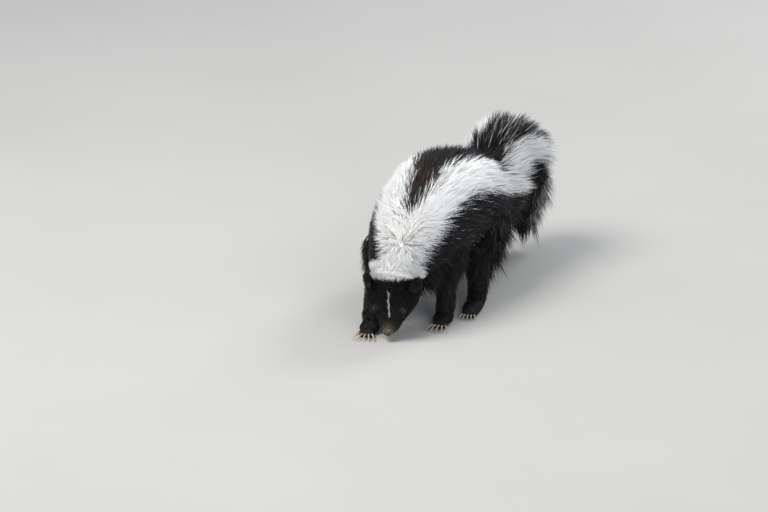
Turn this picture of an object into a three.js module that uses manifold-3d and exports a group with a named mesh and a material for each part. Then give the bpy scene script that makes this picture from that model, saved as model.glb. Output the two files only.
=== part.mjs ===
// A striped skunk, life size, walking with its nose to the ground.
// Millimetres, +Z up. The animal faces -Y, so its left side is +X and its tail is towards +Y.
import * as THREE from "three";
import { mergeVertices } from "three/addons/utils/BufferGeometryUtils.js";
import Module from "manifold-3d";

const wasm = await Module();
wasm.setup();

// Driving dimensions
const HEAD_LENGTH = 82; // nose tip to the back of the skull
const HEAD_PITCH = 62; // degrees that the face points below the horizontal
const HEAD_YAW = 8; // degrees that the face is turned to the animal's left
const NOSE_TIP = [1, -2, 9];
const EYE_RADIUS = 4.4;
const EYE_PLACE = [16.6, 29.8, 8.6]; // left eye in the head's own frame
const EAR_PLACE = [30.5, 61, 13]; // left ear's middle in the head's own frame
const EAR_WIDE = 9;
const EAR_TALL = 11;
const GAP = 0.35; // between nodes that touch
const TOLERANCE = 0.05; // shorter edges are closed up when solids are joined
const CORE_SHARE = 0.55; // share of the coat's depth that is outside the core
const ROOT_SINK = 5; // how deep a lock's root is buried
const FRONT_CLAW = 17;
const HIND_CLAW = 9;
const CLAW_RADIUS = 1.5;
const SEED = 2;
const CORE_RINGS = 1.5; // rings to a station
const CORE_SIDES = 14;
const LIMB_SIDES = 9;
const HEAD_RINGS = 1.75;
const HEAD_SIDES = 14;
const LEG_RINGS = 1.4;
const LEG_SIDES = 9;

// Places along the body, from inside the head to the tail's end. Sizes are to the tips of the coat:
// half width, height above the middle line, height below it, and the depth of the coat.
const BODY = [
  { at: [-3.5, 26, 68], wide: 31, up: 21, down: 21, coat: 2 },
  { at: [-4, 42, 84], wide: 41, up: 31, down: 29, coat: 8 },
  { at: [-4, 64, 96], wide: 51, up: 39, down: 39, coat: 14 },
  { at: [-6, 96, 102], wide: 62, up: 51, down: 49, coat: 18 },
  { at: [-9, 135, 106], wide: 69, up: 67, down: 55, coat: 22 },
  { at: [-10, 175, 109], wide: 73, up: 75, down: 59, coat: 26 },
  { at: [-8, 215, 109], wide: 73, up: 73, down: 59, coat: 28 },
  { at: [-3, 248, 109], wide: 66, up: 61, down: 57, coat: 28 },
  { at: [4, 273, 120], wide: 54, up: 50, down: 50, coat: 32 },
  { at: [10, 297, 138], wide: 50, up: 46, down: 46, coat: 38 },
  { at: [15, 321, 146], wide: 55, up: 50, down: 46, coat: 45 },
  { at: [18, 344, 136], wide: 56, up: 51, down: 44, coat: 45 },
  { at: [20, 359, 109], wide: 49, up: 48, down: 41, coat: 40 },
  { at: [21, 365, 78], wide: 38, up: 36, down: 34, coat: 31 },
  { at: [22, 366, 50], wide: 24, up: 23, down: 22, coat: 19 },
];
const NECK_END = 2.45; // stations, counted along BODY, where the nodes part
const TORSO_END = 8.1;
const TAIL_ROOT_END = 10.65;
const TAIL_ARCH_END = 12.4;

// Upper limbs, part of the torso: from the joint down to the elbow or knee
const UPPER_LIMBS = {
  left_thigh: [
    { at: [26, 236, 118], wide: 34, up: 44, down: 40, coat: 18 },
    { at: [38, 206, 98], wide: 31, up: 40, down: 36, coat: 16 },
    { at: [46, 176, 78], wide: 24, up: 29, down: 26, coat: 11 },
    { at: [48, 158, 60], wide: 17, up: 20, down: 19, coat: 6 },
  ],
  right_thigh: [
    { at: [-34, 236, 116], wide: 34, up: 44, down: 40, coat: 18 },
    { at: [-46, 240, 92], wide: 30, up: 40, down: 36, coat: 16 },
    { at: [-52, 240, 70], wide: 23, up: 29, down: 26, coat: 11 },
    { at: [-53, 246, 50], wide: 16, up: 20, down: 18, coat: 6 },
  ],
  left_shoulder: [
    { at: [24, 104, 106], wide: 32, up: 36, down: 34, coat: 14 },
    { at: [32, 108, 82], wide: 25, up: 29, down: 27, coat: 12 },
    { at: [33, 106, 62], wide: 18, up: 21, down: 20, coat: 7 },
  ],
  right_shoulder: [
    { at: [-40, 96, 104], wide: 30, up: 36, down: 34, coat: 14 },
    { at: [-47, 84, 78], wide: 24, up: 28, down: 27, coat: 12 },
    { at: [-46, 74, 58], wide: 17, up: 20, down: 19, coat: 7 },
  ],
};

// Lower limbs: stations from inside the upper limb to the ankle or wrist
const LOWER_LIMBS = {
  front_left: [
    { at: [33, 107, 74], wide: 15, up: 17, down: 16 },
    { at: [32, 103, 52], wide: 13, up: 14, down: 14 },
    { at: [34, 97, 32], wide: 11.5, up: 11.5, down: 12 },
    { at: [35, 93, 16], wide: 12, up: 11, down: 12 },
    { at: [35, 91, 9], wide: 11.5, up: 9, down: 11 },
  ],
  front_right: [
    { at: [-46, 78, 68], wide: 14, up: 16, down: 15 },
    { at: [-45, 66, 46], wide: 13, up: 13.5, down: 13 },
    { at: [-41, 49, 28], wide: 12, up: 11, down: 11 },
    { at: [-37, 36, 15], wide: 12.5, up: 9.5, down: 10 },
    { at: [-35, 29, 10], wide: 11.5, up: 8, down: 8.5 },
  ],
  hind_left: [
    { at: [47, 162, 74], wide: 18, up: 22, down: 20 },
    { at: [49, 158, 52], wide: 15, up: 18, down: 16 },
    { at: [50, 158, 32], wide: 12.5, up: 13, down: 13 },
    { at: [50, 157, 16], wide: 12, up: 11, down: 12 },
    { at: [51, 151, 9], wide: 12, up: 9, down: 11 },
  ],
  hind_right: [
    { at: [-52, 240, 66], wide: 18, up: 21, down: 20 },
    { at: [-53, 250, 48], wide: 14.5, up: 17, down: 15 },
    { at: [-53, 262, 33], wide: 12, up: 13, down: 12 },
    { at: [-53, 269, 18], wide: 11.5, up: 10.5, down: 11 },
    { at: [-53, 265, 10], wide: 11.5, up: 8.5, down: 10 },
  ],
};

// Paws: the wrist or heel, the toes' root, where the paw points, and its sizes
const PAWS = {
  front_left: { heel: [35, 95], toes: [38, 76], wide: 13, tall: 15, claw: FRONT_CLAW },
  front_right: { heel: [-35, 33], toes: [-31, 12], wide: 13, tall: 14, claw: FRONT_CLAW },
  hind_left: { heel: [50, 160], toes: [56, 123], wide: 12.5, tall: 14, claw: HIND_CLAW },
  hind_right: { heel: [-53, 271], toes: [-57, 236], wide: 12.5, tall: 14, claw: HIND_CLAW },
};
const TOES = 5;
const TOE_FAN = 0.45; // radians from the middle toe to the outer ones
const TOE_RADIUS = 5;

const COLOURS = {
  black: { color: 0x141210, roughness: 0.75, metalness: 0 },
  white: { color: 0xe6e4dd, roughness: 0.8, metalness: 0 },
  face: { color: 0x1b1613, roughness: 0.8, metalness: 0 },
  nose: { color: 0x2a201c, roughness: 0.45, metalness: 0 },
  eye: { color: 0x0a0706, roughness: 0.08, metalness: 0 },
};

const COAT_LOOKS = { neck: "white", tail_root: "white" };

const vec = (p) => new THREE.Vector3(...p);

// A repeatable random number from 0 to 1
let state = SEED;
function random() {
  state = (state * 1664525 + 1013904223) % 4294967296;
  return state / 4294967296;
}
const spread = (amount) => (random() * 2 - 1) * amount;

// Solids and geometry

function solidOf(geometry, matrix) {
  const bare = new THREE.BufferGeometry();
  bare.setAttribute("position", geometry.getAttribute("position").clone());
  if (geometry.index) bare.setIndex(geometry.index.clone());
  if (matrix) bare.applyMatrix4(matrix);
  const merged = mergeVertices(bare, 1e-4);
  const triVerts = new Uint32Array(merged.index.array);
  const vertProperties = merged.attributes.position.array;
  return new wasm.Manifold(new wasm.Mesh({ numProp: 3, vertProperties, triVerts, tolerance: TOLERANCE }));
}

function geometryOf(solid) {
  const mesh = solid.getMesh();
  const geometry = new THREE.BufferGeometry();
  const position = new THREE.BufferAttribute(new Float32Array(mesh.vertProperties), 3);
  geometry.setAttribute("position", position);
  geometry.setIndex(new THREE.BufferAttribute(new Uint32Array(mesh.triVerts), 1));
  geometry.computeVertexNormals();
  return geometry;
}

const joined = (solids) => wasm.Manifold.union(solids);

// The largest closed surface of a solid, which fills sealed hollows and drops loose scraps
function largest(solid) {
  const pieces = solid.decompose();
  return pieces.reduce((a, b) => (b.volume() > a.volume() ? b : a));
}

// A closed surface over rings of points, with a point that closes each end
function over(rings, first, last) {
  const n = rings[0].length;
  const points = [first, ...rings.flat(), last];
  const end = points.length - 1;
  const index = [];
  const at = (ring, i) => 1 + ring * n + (i % n);
  for (let i = 0; i < n; i++) {
    index.push(0, at(0, i + 1), at(0, i));
    index.push(end, at(rings.length - 1, i), at(rings.length - 1, i + 1));
    for (let r = 0; r + 1 < rings.length; r++) {
      index.push(at(r, i), at(r, i + 1), at(r + 1, i));
      index.push(at(r, i + 1), at(r + 1, i + 1), at(r + 1, i));
    }
  }
  const geometry = new THREE.BufferGeometry();
  const flat = points.flatMap((p) => [p.x, p.y, p.z]);
  geometry.setAttribute("position", new THREE.Float32BufferAttribute(flat, 3));
  geometry.setIndex(index);
  return geometry;
}

// A body of changing size along a smooth line through stations
class Loft {
  constructor(stations) {
    this.last = stations.length - 1;
    this.line = new THREE.CatmullRomCurve3(stations.map((s) => vec(s.at)), false, "centripetal");
    this.size = new THREE.CatmullRomCurve3(stations.map((s) => new THREE.Vector3(s.wide, s.up, s.down)));
    this.depth = new THREE.CatmullRomCurve3(stations.map((s, i) => new THREE.Vector3(s.coat ?? 0, i, 0)));
  }

  // The middle line's point and directions at a station number
  frame(station) {
    const t = THREE.MathUtils.clamp(station / this.last, 0, 1);
    const along = this.line.getTangent(t);
    const side = new THREE.Vector3(1, 0, 0).addScaledVector(along, -along.x).normalize();
    const up = new THREE.Vector3().crossVectors(side, along);
    const centre = this.line.getPoint(t);
    const past = station - t * this.last;
    const step = this.line.getLength() / this.last;
    centre.addScaledVector(along, past * step);
    return { t, along, side, up, centre };
  }

  coatDepth(station) {
    return this.depth.getPoint(THREE.MathUtils.clamp(station / this.last, 0, 1)).x;
  }

  // A point on the surface, moved out by grow. Angle 0 is the left side and a quarter turn the top.
  point(station, angle, grow = 0) {
    const { t, side, up, centre } = this.frame(station);
    const size = this.size.getPoint(t);
    const c = Math.cos(angle);
    const s = Math.sin(angle);
    const high = s > 0 ? size.y : size.z;
    return centre
      .addScaledVector(side, c * (size.x + grow))
      .addScaledVector(up, s * (high + grow));
  }

  outward(station, angle) {
    const here = this.point(station, angle);
    const along = this.point(station + 0.05, angle).sub(this.point(station - 0.05, angle));
    const around = this.point(station, angle + 0.05).sub(this.point(station, angle - 0.05));
    const out = new THREE.Vector3().crossVectors(around, along).normalize();
    if (out.dot(here.sub(this.frame(station).centre)) < 0) out.negate();
    return out;
  }

  // The closed core, moved out by grow
  geometry(ringsPerStation, sides, grow = 0, coatShare = 0) {
    const count = Math.round(this.last * ringsPerStation);
    const rings = [];
    for (let r = 0; r <= count; r++) {
      const station = (r / count) * this.last;
      const out = grow - coatShare * this.coatDepth(station);
      const ring = [];
      for (let i = 0; i < sides; i++) ring.push(this.point(station, (i / sides) * 2 * Math.PI, out));
      rings.push(ring);
    }
    const start = this.frame(0);
    const stop = this.frame(this.last);
    const round = 0.45 * Math.min(this.size.getPoint(0).x, this.size.getPoint(1).x);
    return over(
      rings,
      start.centre.addScaledVector(start.along, -round - grow),
      stop.centre.addScaledVector(stop.along, round + grow),
    );
  }
}

// Locks of hair

const LOCK_STEPS = [0.14, 0.46, 0.78];
const LOCK_WIDTHS = [0.85, 1, 0.66];

// A flat lock with a low ridge that tapers to a point. path(s) gives its middle line and outward(s) its
// top. grow gives the room that another node leaves it, more at the thin edges than on the flat.
function lock(path, outward, wide, thick, grow = 0) {
  const rings = LOCK_STEPS.map((s, i) => {
    const centre = path(s);
    const along = path(s + 0.05).sub(path(s - 0.05)).normalize();
    const across = new THREE.Vector3().crossVectors(along, outward(s)).normalize();
    const out = new THREE.Vector3().crossVectors(across, along).normalize();
    const half = wide * LOCK_WIDTHS[i] + 4 * grow;
    const deep = (thick * (1 - 0.6 * s)) / 2 + grow;
    return [
      centre.clone().addScaledVector(across, half).addScaledVector(out, -deep),
      centre.clone().addScaledVector(out, deep),
      centre.clone().addScaledVector(across, -half).addScaledVector(out, -deep),
    ];
  });
  const past = (from, to) => path(to).addScaledVector(path(to).sub(path(from)).normalize(), 5 * grow);
  return solidOfOutward(over(rings, past(0.05, 0), past(0.95, 1)));
}

// One lock on a loft, from its root's station and angle. back is the stretch of stations that it lies
// along, sweep the turn down the flank, and lift how far its tip stands past the coat's surface.
function lockOn(loft, station, angle, { back, sweep, wide, thick, lift = 0 }) {
  const depth = (s) => CORE_SHARE * loft.coatDepth(station + back * s);
  const path = (s) => {
    const rise = Math.sin((Math.min(s, 1) * Math.PI) / 2);
    const grow = -depth(s) - ROOT_SINK * (1 - rise) + rise * (depth(s) - thick / 4) + lift * s * s;
    return loft.point(station + back * s, angle + sweep * s, grow);
  };
  const outward = (s) => loft.outward(station + back * s, angle + sweep * s);
  return {
    station,
    reach: station + back,
    solid: lock(path, outward, wide, thick),
    room: lock(path, outward, wide, thick, GAP),
  };
}

// The body and its coat

const body = new Loft(BODY);
const limbs = Object.entries(UPPER_LIMBS).map(([name, stations]) => ({
  loft: new Loft(stations),
  mirrored: name.startsWith("right"),
}));

// The turn that hair takes towards the belly, nothing on the back and belly lines
const downSweep = (angle) => -0.32 * Math.cos(angle) * (Math.sin(angle) > -0.9 ? 1 : 0);

function rowsOfLocks(loft, rows, mirrored = false) {
  const made = [];
  rows.forEach(({ station, count, from, to, back, wide, thick, lift = 0 }, r) => {
    for (let i = 0; i < count; i++) {
      const share = (i + 0.5 + (r % 2 ? 0.5 : 0) + spread(0.16)) / count;
      const turn = THREE.MathUtils.degToRad(from + (to - from) * share);
      const angle = mirrored ? Math.PI - turn : turn;
      made.push(
        lockOn(loft, station + Math.abs(spread(0.1)), angle, {
          back: back * (1 + spread(0.12)),
          sweep: downSweep(angle) * (1 + spread(0.3)) * Math.min(1, back),
          wide: wide * (1 + spread(0.12)),
          thick,
          lift: lift + spread(1.5),
        }),
      );
    }
  });
  return made;
}

const BODY_ROWS = [
  { station: 1.6, count: 7, from: -50, to: 230, back: 1.35, wide: 15, thick: 4 },
  { station: 2.5, count: 8, from: -60, to: 240, back: 1.6, wide: 18, thick: 4.5 },
  { station: 3.5, count: 8, from: -90, to: 270, back: 1.8, wide: 24, thick: 5 },
  { station: 4.7, count: 8, from: -90, to: 270, back: 1.9, wide: 27, thick: 5.5 },
  { station: 5.9, count: 8, from: -90, to: 270, back: 1.9, wide: 27, thick: 6 },
  { station: 7.1, count: 8, from: -90, to: 270, back: 1.9, wide: 23, thick: 6, lift: 1 },
  { station: 8.15, count: 7, from: -60, to: 240, back: 2, wide: 18, thick: 6, lift: 5 },
  { station: 9, count: 6, from: -40, to: 220, back: 2, wide: 18, thick: 6, lift: 5 },
  { station: 9.85, count: 6, from: -35, to: 215, back: 2, wide: 19, thick: 6, lift: 3 },
  { station: 10.7, count: 6, from: -45, to: 225, back: 2, wide: 18, thick: 6, lift: 2 },
  { station: 11.55, count: 7, from: -90, to: 270, back: 2, wide: 16, thick: 5.5 },
  { station: 12.45, count: 7, from: -90, to: 270, back: 2, wide: 14, thick: 5, lift: -2 },
  { station: 13.3, count: 6, from: -90, to: 270, back: 1.9, wide: 12, thick: 4.5, lift: -5 },
];
const LIMB_ROWS = [
  { station: 1.05, count: 3, from: -95, to: 95, back: 1.3, wide: 18, thick: 5 },
]; // on the outer side

// Parts a solid by planes square to the middle line, leaving the gap between the pieces
function slice(solid, from, to) {
  let piece = solid;
  if (from !== null) {
    const { along, centre } = body.frame(from);
    piece = piece.trimByPlane(along.toArray(), along.dot(centre) + GAP / 2);
  }
  if (to !== null) {
    const { along, centre } = body.frame(to);
    piece = piece.trimByPlane(along.clone().negate().toArray(), -along.dot(centre) + GAP / 2);
  }
  return piece;
}

// The head, in its own frame: the origin at the nose tip, +Y back to the skull, +Z towards the forehead
const HEAD = [
  { at: [0, 2.5, -1], wide: 7.5, up: 5, down: 5 },
  { at: [0, 8, -1.5], wide: 12, up: 8, down: 8.5 },
  { at: [0, 18, -1], wide: 17, up: 11, down: 11 },
  { at: [0, 28, 0], wide: 24, up: 14.5, down: 14.5 },
  { at: [0, 40, 1], wide: 31.5, up: 18.5, down: 18.5 },
  { at: [0, 53, 1.5], wide: 35.5, up: 21, down: 21.5 },
  { at: [0, 66, 1], wide: 35.5, up: 22, down: 21.5 },
  { at: [0, 0.95 * HEAD_LENGTH, 0], wide: 30, up: 20, down: 18 },
  { at: [0, 1.05 * HEAD_LENGTH, 0], wide: 19, up: 13, down: 12 },
];
const headPlace = new THREE.Matrix4()
  .makeTranslation(...NOSE_TIP)
  .multiply(new THREE.Matrix4().makeRotationZ(THREE.MathUtils.degToRad(HEAD_YAW)))
  .multiply(new THREE.Matrix4().makeRotationX(THREE.MathUtils.degToRad(HEAD_PITCH)));

// A ball stretched along its own axes, in the head's frame or any other
function ellipsoid(centre, radii, axes, across = 14, down = 10) {
  const ball = new THREE.SphereGeometry(1, across, down);
  const [x, y, z] = axes ?? [new THREE.Vector3(1, 0, 0), new THREE.Vector3(0, 1, 0), new THREE.Vector3(0, 0, 1)];
  const place = new THREE.Matrix4().makeBasis(
    x.clone().multiplyScalar(radii[0]),
    y.clone().multiplyScalar(radii[1]),
    z.clone().multiplyScalar(radii[2]),
  );
  place.setPosition(vec(centre));
  return solidOf(ball, place);
}

function tube(points, radius, sides, count, taper = () => 1) {
  const line = new THREE.CatmullRomCurve3(points);
  const frames = line.computeFrenetFrames(count);
  const rings = frames.tangents.map((_, r) => {
    const centre = line.getPointAt(r / count);
    const size = radius * taper(r / count);
    return Array.from({ length: sides }, (_, i) => {
      const a = (i / sides) * 2 * Math.PI;
      return centre
        .clone()
        .addScaledVector(frames.normals[r], size * Math.cos(a))
        .addScaledVector(frames.binormals[r], size * Math.sin(a));
    });
  });
  return solidOfOutward(over(rings, line.getPointAt(0), line.getPointAt(1)));
}

// A closed surface's solid, turned the right way out if its rings ran the other way
function solidOfOutward(geometry) {
  const solid = solidOf(geometry);
  if (solid.volume() > 0) return solid;
  const turned = Array.from(geometry.index.array);
  for (let i = 0; i < turned.length; i += 3) [turned[i + 1], turned[i + 2]] = [turned[i + 2], turned[i + 1]];
  geometry.setIndex(turned);
  return solidOf(geometry);
}

const head = new Loft(HEAD);
const headCore = (grow = 0) => solidOfOutward(head.geometry(HEAD_RINGS, HEAD_SIDES, grow));
const MOUTH = [
  [3.7, -24],
  [3, -28],
  [2, -34],
  [1.2, -44],
  [0.6, -62],
]; // stations along HEAD and angles of the left half of the mouth's line
const LIP_RADIUS = 1.5;
const MOUTH_RADIUS = 0.7;

function mouthLine(turn, grow) {
  const at = ([station, angle], mirrored) => {
    const a = THREE.MathUtils.degToRad(angle + turn);
    return head.point(station, mirrored ? Math.PI - a : a, grow);
  };
  const front = head.point(0.15, THREE.MathUtils.degToRad(-90 + turn * 0.5), grow);
  return [...MOUTH.map((m) => at(m, false)), front, ...MOUTH.map((m) => at(m, true)).reverse()];
}

const mirrorX = ([x, y, z]) => [-x, y, z];
const LID_RADIUS = EYE_RADIUS + 1.5;

// The eye's own directions: out of the head, along the slit, and across it
function eyeAxes(side) {
  const out = new THREE.Vector3(side * 0.7, -0.42, 0.58).normalize();
  const slit = new THREE.Vector3(side * 0.35, 0.9, -0.1);
  slit.addScaledVector(out, -slit.dot(out)).normalize();
  return [slit, new THREE.Vector3().crossVectors(out, slit), out];
}

function headSolid() {
  const lips = [tube(mouthLine(9, 0.1), LIP_RADIUS, 5, 10), tube(mouthLine(-9, 0), LIP_RADIUS, 5, 10)];
  const line = tube(mouthLine(0, 1), MOUTH_RADIUS, 4, 10);
  let made = joined([headCore(), ...lips]).subtract(line);
  for (const side of [1, -1]) {
    const place = side > 0 ? EYE_PLACE : mirrorX(EYE_PLACE);
    const axes = eyeAxes(side);
    const lid = ellipsoid(place, [LID_RADIUS, 0.92 * LID_RADIUS, LID_RADIUS], axes, 10, 8);
    const opening = vec(place).addScaledVector(axes[2], EYE_RADIUS).toArray();
    const slit = ellipsoid(opening, [0.95 * EYE_RADIUS, 0.66 * EYE_RADIUS, EYE_RADIUS], axes, 10, 7);
    const socket = ellipsoid(place, Array(3).fill(EYE_RADIUS + GAP), axes, 10, 8);
    made = made.add(lid).subtract(slit).subtract(socket);
  }
  return largest(made.subtract(nosePad(GAP)));
}

function nosePad(grow = 0) {
  return ellipsoid([0, 2.6, 1], [6.4 + grow, 5 + grow, 4.9 + grow], null, 12, 9);
}

function noseSolid() {
  const nostrils = [1, -1].flatMap((side) => [
    ellipsoid([side * 2.9, -2, 0.6], [1.2, 2, 1.5], null, 6, 5),
    ellipsoid([side * 5.2, -0.4, -0.6], [1.9, 1.6, 0.7], null, 6, 5),
  ]);
  return largest(nosePad().subtract(joined(nostrils)));
}

// A rounded cup that opens forwards and outwards
const EAR_THICK = 5;

function earFrame(side) {
  const open = new THREE.Vector3(side * 0.62, -0.42, 0.66).normalize();
  const tall = new THREE.Vector3(side * 0.35, 0.9, 0.2);
  tall.addScaledVector(open, -tall.dot(open)).normalize();
  const wide = new THREE.Vector3().crossVectors(tall, open);
  const middle = vec(side > 0 ? EAR_PLACE : mirrorX(EAR_PLACE));
  return { axes: [wide, tall, open], tall, open, middle };
}

function earShell(side, grow = 0) {
  const { axes, middle } = earFrame(side);
  const radii = [EAR_WIDE + grow, EAR_TALL + grow, EAR_THICK + grow];
  return ellipsoid(middle.toArray(), radii, axes, 11, 8);
}

function earSolid(side) {
  const { axes, tall, open, middle } = earFrame(side);
  const hollow = middle.clone().addScaledVector(open, 3.6).addScaledVector(tall, -0.6);
  const cup = ellipsoid(hollow.toArray(), [EAR_WIDE - 2.2, EAR_TALL - 2.6, 5.4], axes, 9, 7);
  return largest(earShell(side).subtract(cup).subtract(headCore(GAP)));
}

const earClearances = () => [1, -1].map((side) => earShell(side, GAP).transform(headPlace.toArray()));

// Legs: the lower limb, the paw with its toes and claws, and a thin cut at the wrist or heel
const SOLE = 0;
const ANKLE = 17;

function claw(root, forward, length) {
  const drop = Math.min(root.z - 1.2, 0.42 * length);
  const points = [0, 0.5, 1].map((s) =>
    root
      .clone()
      .addScaledVector(forward, length * (s - 0.12))
      .add(new THREE.Vector3(0, 0, 0.12 * length * Math.sin(s * Math.PI) - drop * s * s)),
  );
  return tube(points, CLAW_RADIUS, 3, 2, (s) => 1 - 0.8 * s * s);
}

function legSolids(name) {
  const { heel, toes, wide, tall, claw: clawLength } = PAWS[name];
  const forward = new THREE.Vector3(toes[0] - heel[0], toes[1] - heel[1], 0).normalize();
  const limb = solidOfOutward(new Loft(LOWER_LIMBS[name]).geometry(LEG_RINGS, LEG_SIDES));
  const between = (s) => heel.map((h, i) => h + (toes[i] - h) * s);
  const pad = new Loft([
    { at: [...between(1.12), 0.36 * tall], wide: 0.8 * wide, up: 0.34 * tall, down: 0.4 * tall },
    { at: [...between(0.85), 0.45 * tall], wide, up: 0.45 * tall, down: 0.5 * tall },
    { at: [...between(0.4), 0.55 * tall], wide: 0.9 * wide, up: 0.6 * tall, down: 0.62 * tall },
    { at: [...between(0), 0.55 * tall], wide: 0.85 * wide, up: 0.62 * tall, down: 0.62 * tall },
  ]);
  const pieces = [limb, solidOfOutward(pad.geometry(1, 8))];
  for (let i = 0; i < TOES; i++) {
    const turn = TOE_FAN * ((2 * i) / (TOES - 1) - 1);
    const way = forward.clone().applyAxisAngle(new THREE.Vector3(0, 0, 1), turn);
    const [x, y] = between(0.95);
    const middle = new THREE.Vector3(x, y, 0.85 * TOE_RADIUS).addScaledVector(way, 0.86 * wide);
    const up = new THREE.Vector3(0, 0, 1);
    const axes = [way, new THREE.Vector3().crossVectors(up, way), up];
    pieces.push(ellipsoid(middle.toArray(), [1.5 * TOE_RADIUS, 0.82 * TOE_RADIUS, TOE_RADIUS], axes, 5, 4));
    pieces.push(claw(middle.clone().addScaledVector(way, 1.1 * TOE_RADIUS), way, clawLength));
  }
  const whole = joined(pieces).trimByPlane([0, 0, 1], SOLE);
  return {
    leg: largest(whole.trimByPlane([0, 0, 1], ANKLE + GAP / 2)),
    paw: largest(whole.trimByPlane([0, 0, -1], -(ANKLE - GAP / 2))),
  };
}

// A loft's core, moved out by grow
const coreOf = (loft, sides, grow = 0) => solidOfOutward(loft.geometry(CORE_RINGS, sides, grow, CORE_SHARE));

// The lengths of the body's coat. Each keeps the locks that are rooted in it and clears those of the
// length before it. The upper limbs belong to the torso.
function coatSolids() {
  const core = coreOf(body, CORE_SIDES);
  const locks = rowsOfLocks(body, BODY_ROWS);
  const limbLocks = limbs.flatMap(({ loft, mirrored }) => rowsOfLocks(loft, LIMB_ROWS, mirrored));
  const upper = joined([...limbs.map(({ loft }) => coreOf(loft, LIMB_SIDES)), ...limbLocks.map((l) => l.solid)]);
  const upperRoom = joined([...limbs.map(({ loft }) => coreOf(loft, LIMB_SIDES, GAP)), ...limbLocks.map((l) => l.room)]);
  const lower = Object.values(LOWER_LIMBS).map((stations) => new Loft(stations).geometry(LEG_RINGS, LEG_SIDES, GAP));
  const clear = joined([headCore(GAP).transform(headPlace.toArray()), ...lower.map(solidOfOutward), ...earClearances()]);

  const length = (from, to) => {
    const own = locks.filter((l) => l.station >= (from ?? 0) && l.station < (to ?? Infinity));
    const before = locks.filter((l) => from !== null && l.station < from && l.reach > from - 0.3);
    const hair = slice(joined(own.map((l) => l.solid)), from, null);
    const whole = slice(core, from, to).add(hair);
    return before.length ? whole.subtract(joined(before.map((l) => l.room))) : whole;
  };
  const torso = length(NECK_END, TORSO_END).add(upper).subtract(clear);
  const tailRoot = length(TORSO_END, TAIL_ROOT_END).subtract(upperRoom).subtract(torso);
  const tailArch = length(TAIL_ROOT_END, TAIL_ARCH_END).subtract(tailRoot);
  return {
    neck: length(null, NECK_END).subtract(upperRoom).subtract(clear).subtract(torso),
    torso,
    tail_root: tailRoot,
    tail_arch: tailArch,
    tail_end: length(TAIL_ARCH_END, null).subtract(tailArch),
  };
}

const group = new THREE.Group();

function add(name, solid, look) {
  const mesh = new THREE.Mesh(geometryOf(solid), new THREE.MeshStandardMaterial(COLOURS[look]));
  mesh.name = name;
  group.add(mesh);
  return mesh;
}

const coat = coatSolids();
for (const [name, solid] of Object.entries(coat)) add(name, largest(solid), COAT_LOOKS[name] ?? "black");

const inHead = (solid) => solid.transform(headPlace.toArray());
add("head", inHead(headSolid()), "face");
add("nose", inHead(noseSolid()), "nose");
for (const [name, side] of [["left", 1], ["right", -1]]) {
  const place = side > 0 ? EYE_PLACE : mirrorX(EYE_PLACE);
  add(`eye_${name}`, inHead(ellipsoid(place, Array(3).fill(EYE_RADIUS), eyeAxes(side), 12, 9)), "eye");
  add(`ear_${name}`, inHead(earSolid(side)), "face");
}
for (const name of Object.keys(PAWS)) {
  const { leg, paw } = legSolids(name);
  add(`leg_${name}`, leg, "black");
  add(`paw_${name}`, paw, "black");
}

// The origin is under the middle of the whole, on the ground
const bounds = new THREE.Box3().setFromObject(group);
const middle = bounds.getCenter(new THREE.Vector3());
group.position.set(-middle.x, -middle.y, -bounds.min.z);

export default group;
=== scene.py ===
"""A striped skunk, life size: its skin, coat, eyes, nose and claws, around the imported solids."""

import math

import bmesh
import bpy
import numpy as np
from mathutils import Matrix, Vector


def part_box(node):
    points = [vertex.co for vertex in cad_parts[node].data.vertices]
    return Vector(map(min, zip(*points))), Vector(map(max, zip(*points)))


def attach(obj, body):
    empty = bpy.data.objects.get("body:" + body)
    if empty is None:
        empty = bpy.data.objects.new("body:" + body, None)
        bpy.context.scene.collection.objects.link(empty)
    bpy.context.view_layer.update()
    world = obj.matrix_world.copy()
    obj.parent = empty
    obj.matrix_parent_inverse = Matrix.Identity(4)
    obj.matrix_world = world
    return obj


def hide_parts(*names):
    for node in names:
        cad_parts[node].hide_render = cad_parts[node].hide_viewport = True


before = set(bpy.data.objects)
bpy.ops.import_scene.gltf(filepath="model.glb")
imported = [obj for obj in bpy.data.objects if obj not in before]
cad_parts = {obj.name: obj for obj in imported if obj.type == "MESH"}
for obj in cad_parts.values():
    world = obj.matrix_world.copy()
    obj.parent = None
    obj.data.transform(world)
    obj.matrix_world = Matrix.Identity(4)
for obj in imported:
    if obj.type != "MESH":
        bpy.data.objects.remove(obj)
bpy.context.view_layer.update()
scene = bpy.context.scene

# Sizes are in millimetres in the animal's own frame: it faces -Y, its left side is +X, and the
# origin is on the ground under its nose. at is a station along a loft, and angle goes round it.
MM = 0.001
SEED = 2
THIN = 1

HEAD_LENGTH = 82
HEAD_PITCH = 62
HEAD_YAW = 8
NOSE_TIP = (1, -2, 9)
EYE_RADIUS = 4.4
EYE_PLACE = (16.6, 29.8, 8.6)
LID = 0.9
LIDS_REACH = EYE_RADIUS + 4
SLIT_LONG = 0.98 * EYE_RADIUS
SLIT_HIGH = 0.72 * EYE_RADIUS
SLIT_LOW = 0.1 * EYE_RADIUS  # how far the slit's middle is below the eye's
EAR_PLACE = (29.5, 61, 13.5)
EAR_WIDE = 6.4
EAR_TALL = 8.4
EAR_DEEP = 6.5
EAR_WALL = 1.6
FRONT_CLAW = 17
HIND_CLAW = 9
CLAW_RADIUS = 1.5
SKIN_SHARE = 0.92  # share of the coat's depth that lies over the skin
VOXEL = 1.0

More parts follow.
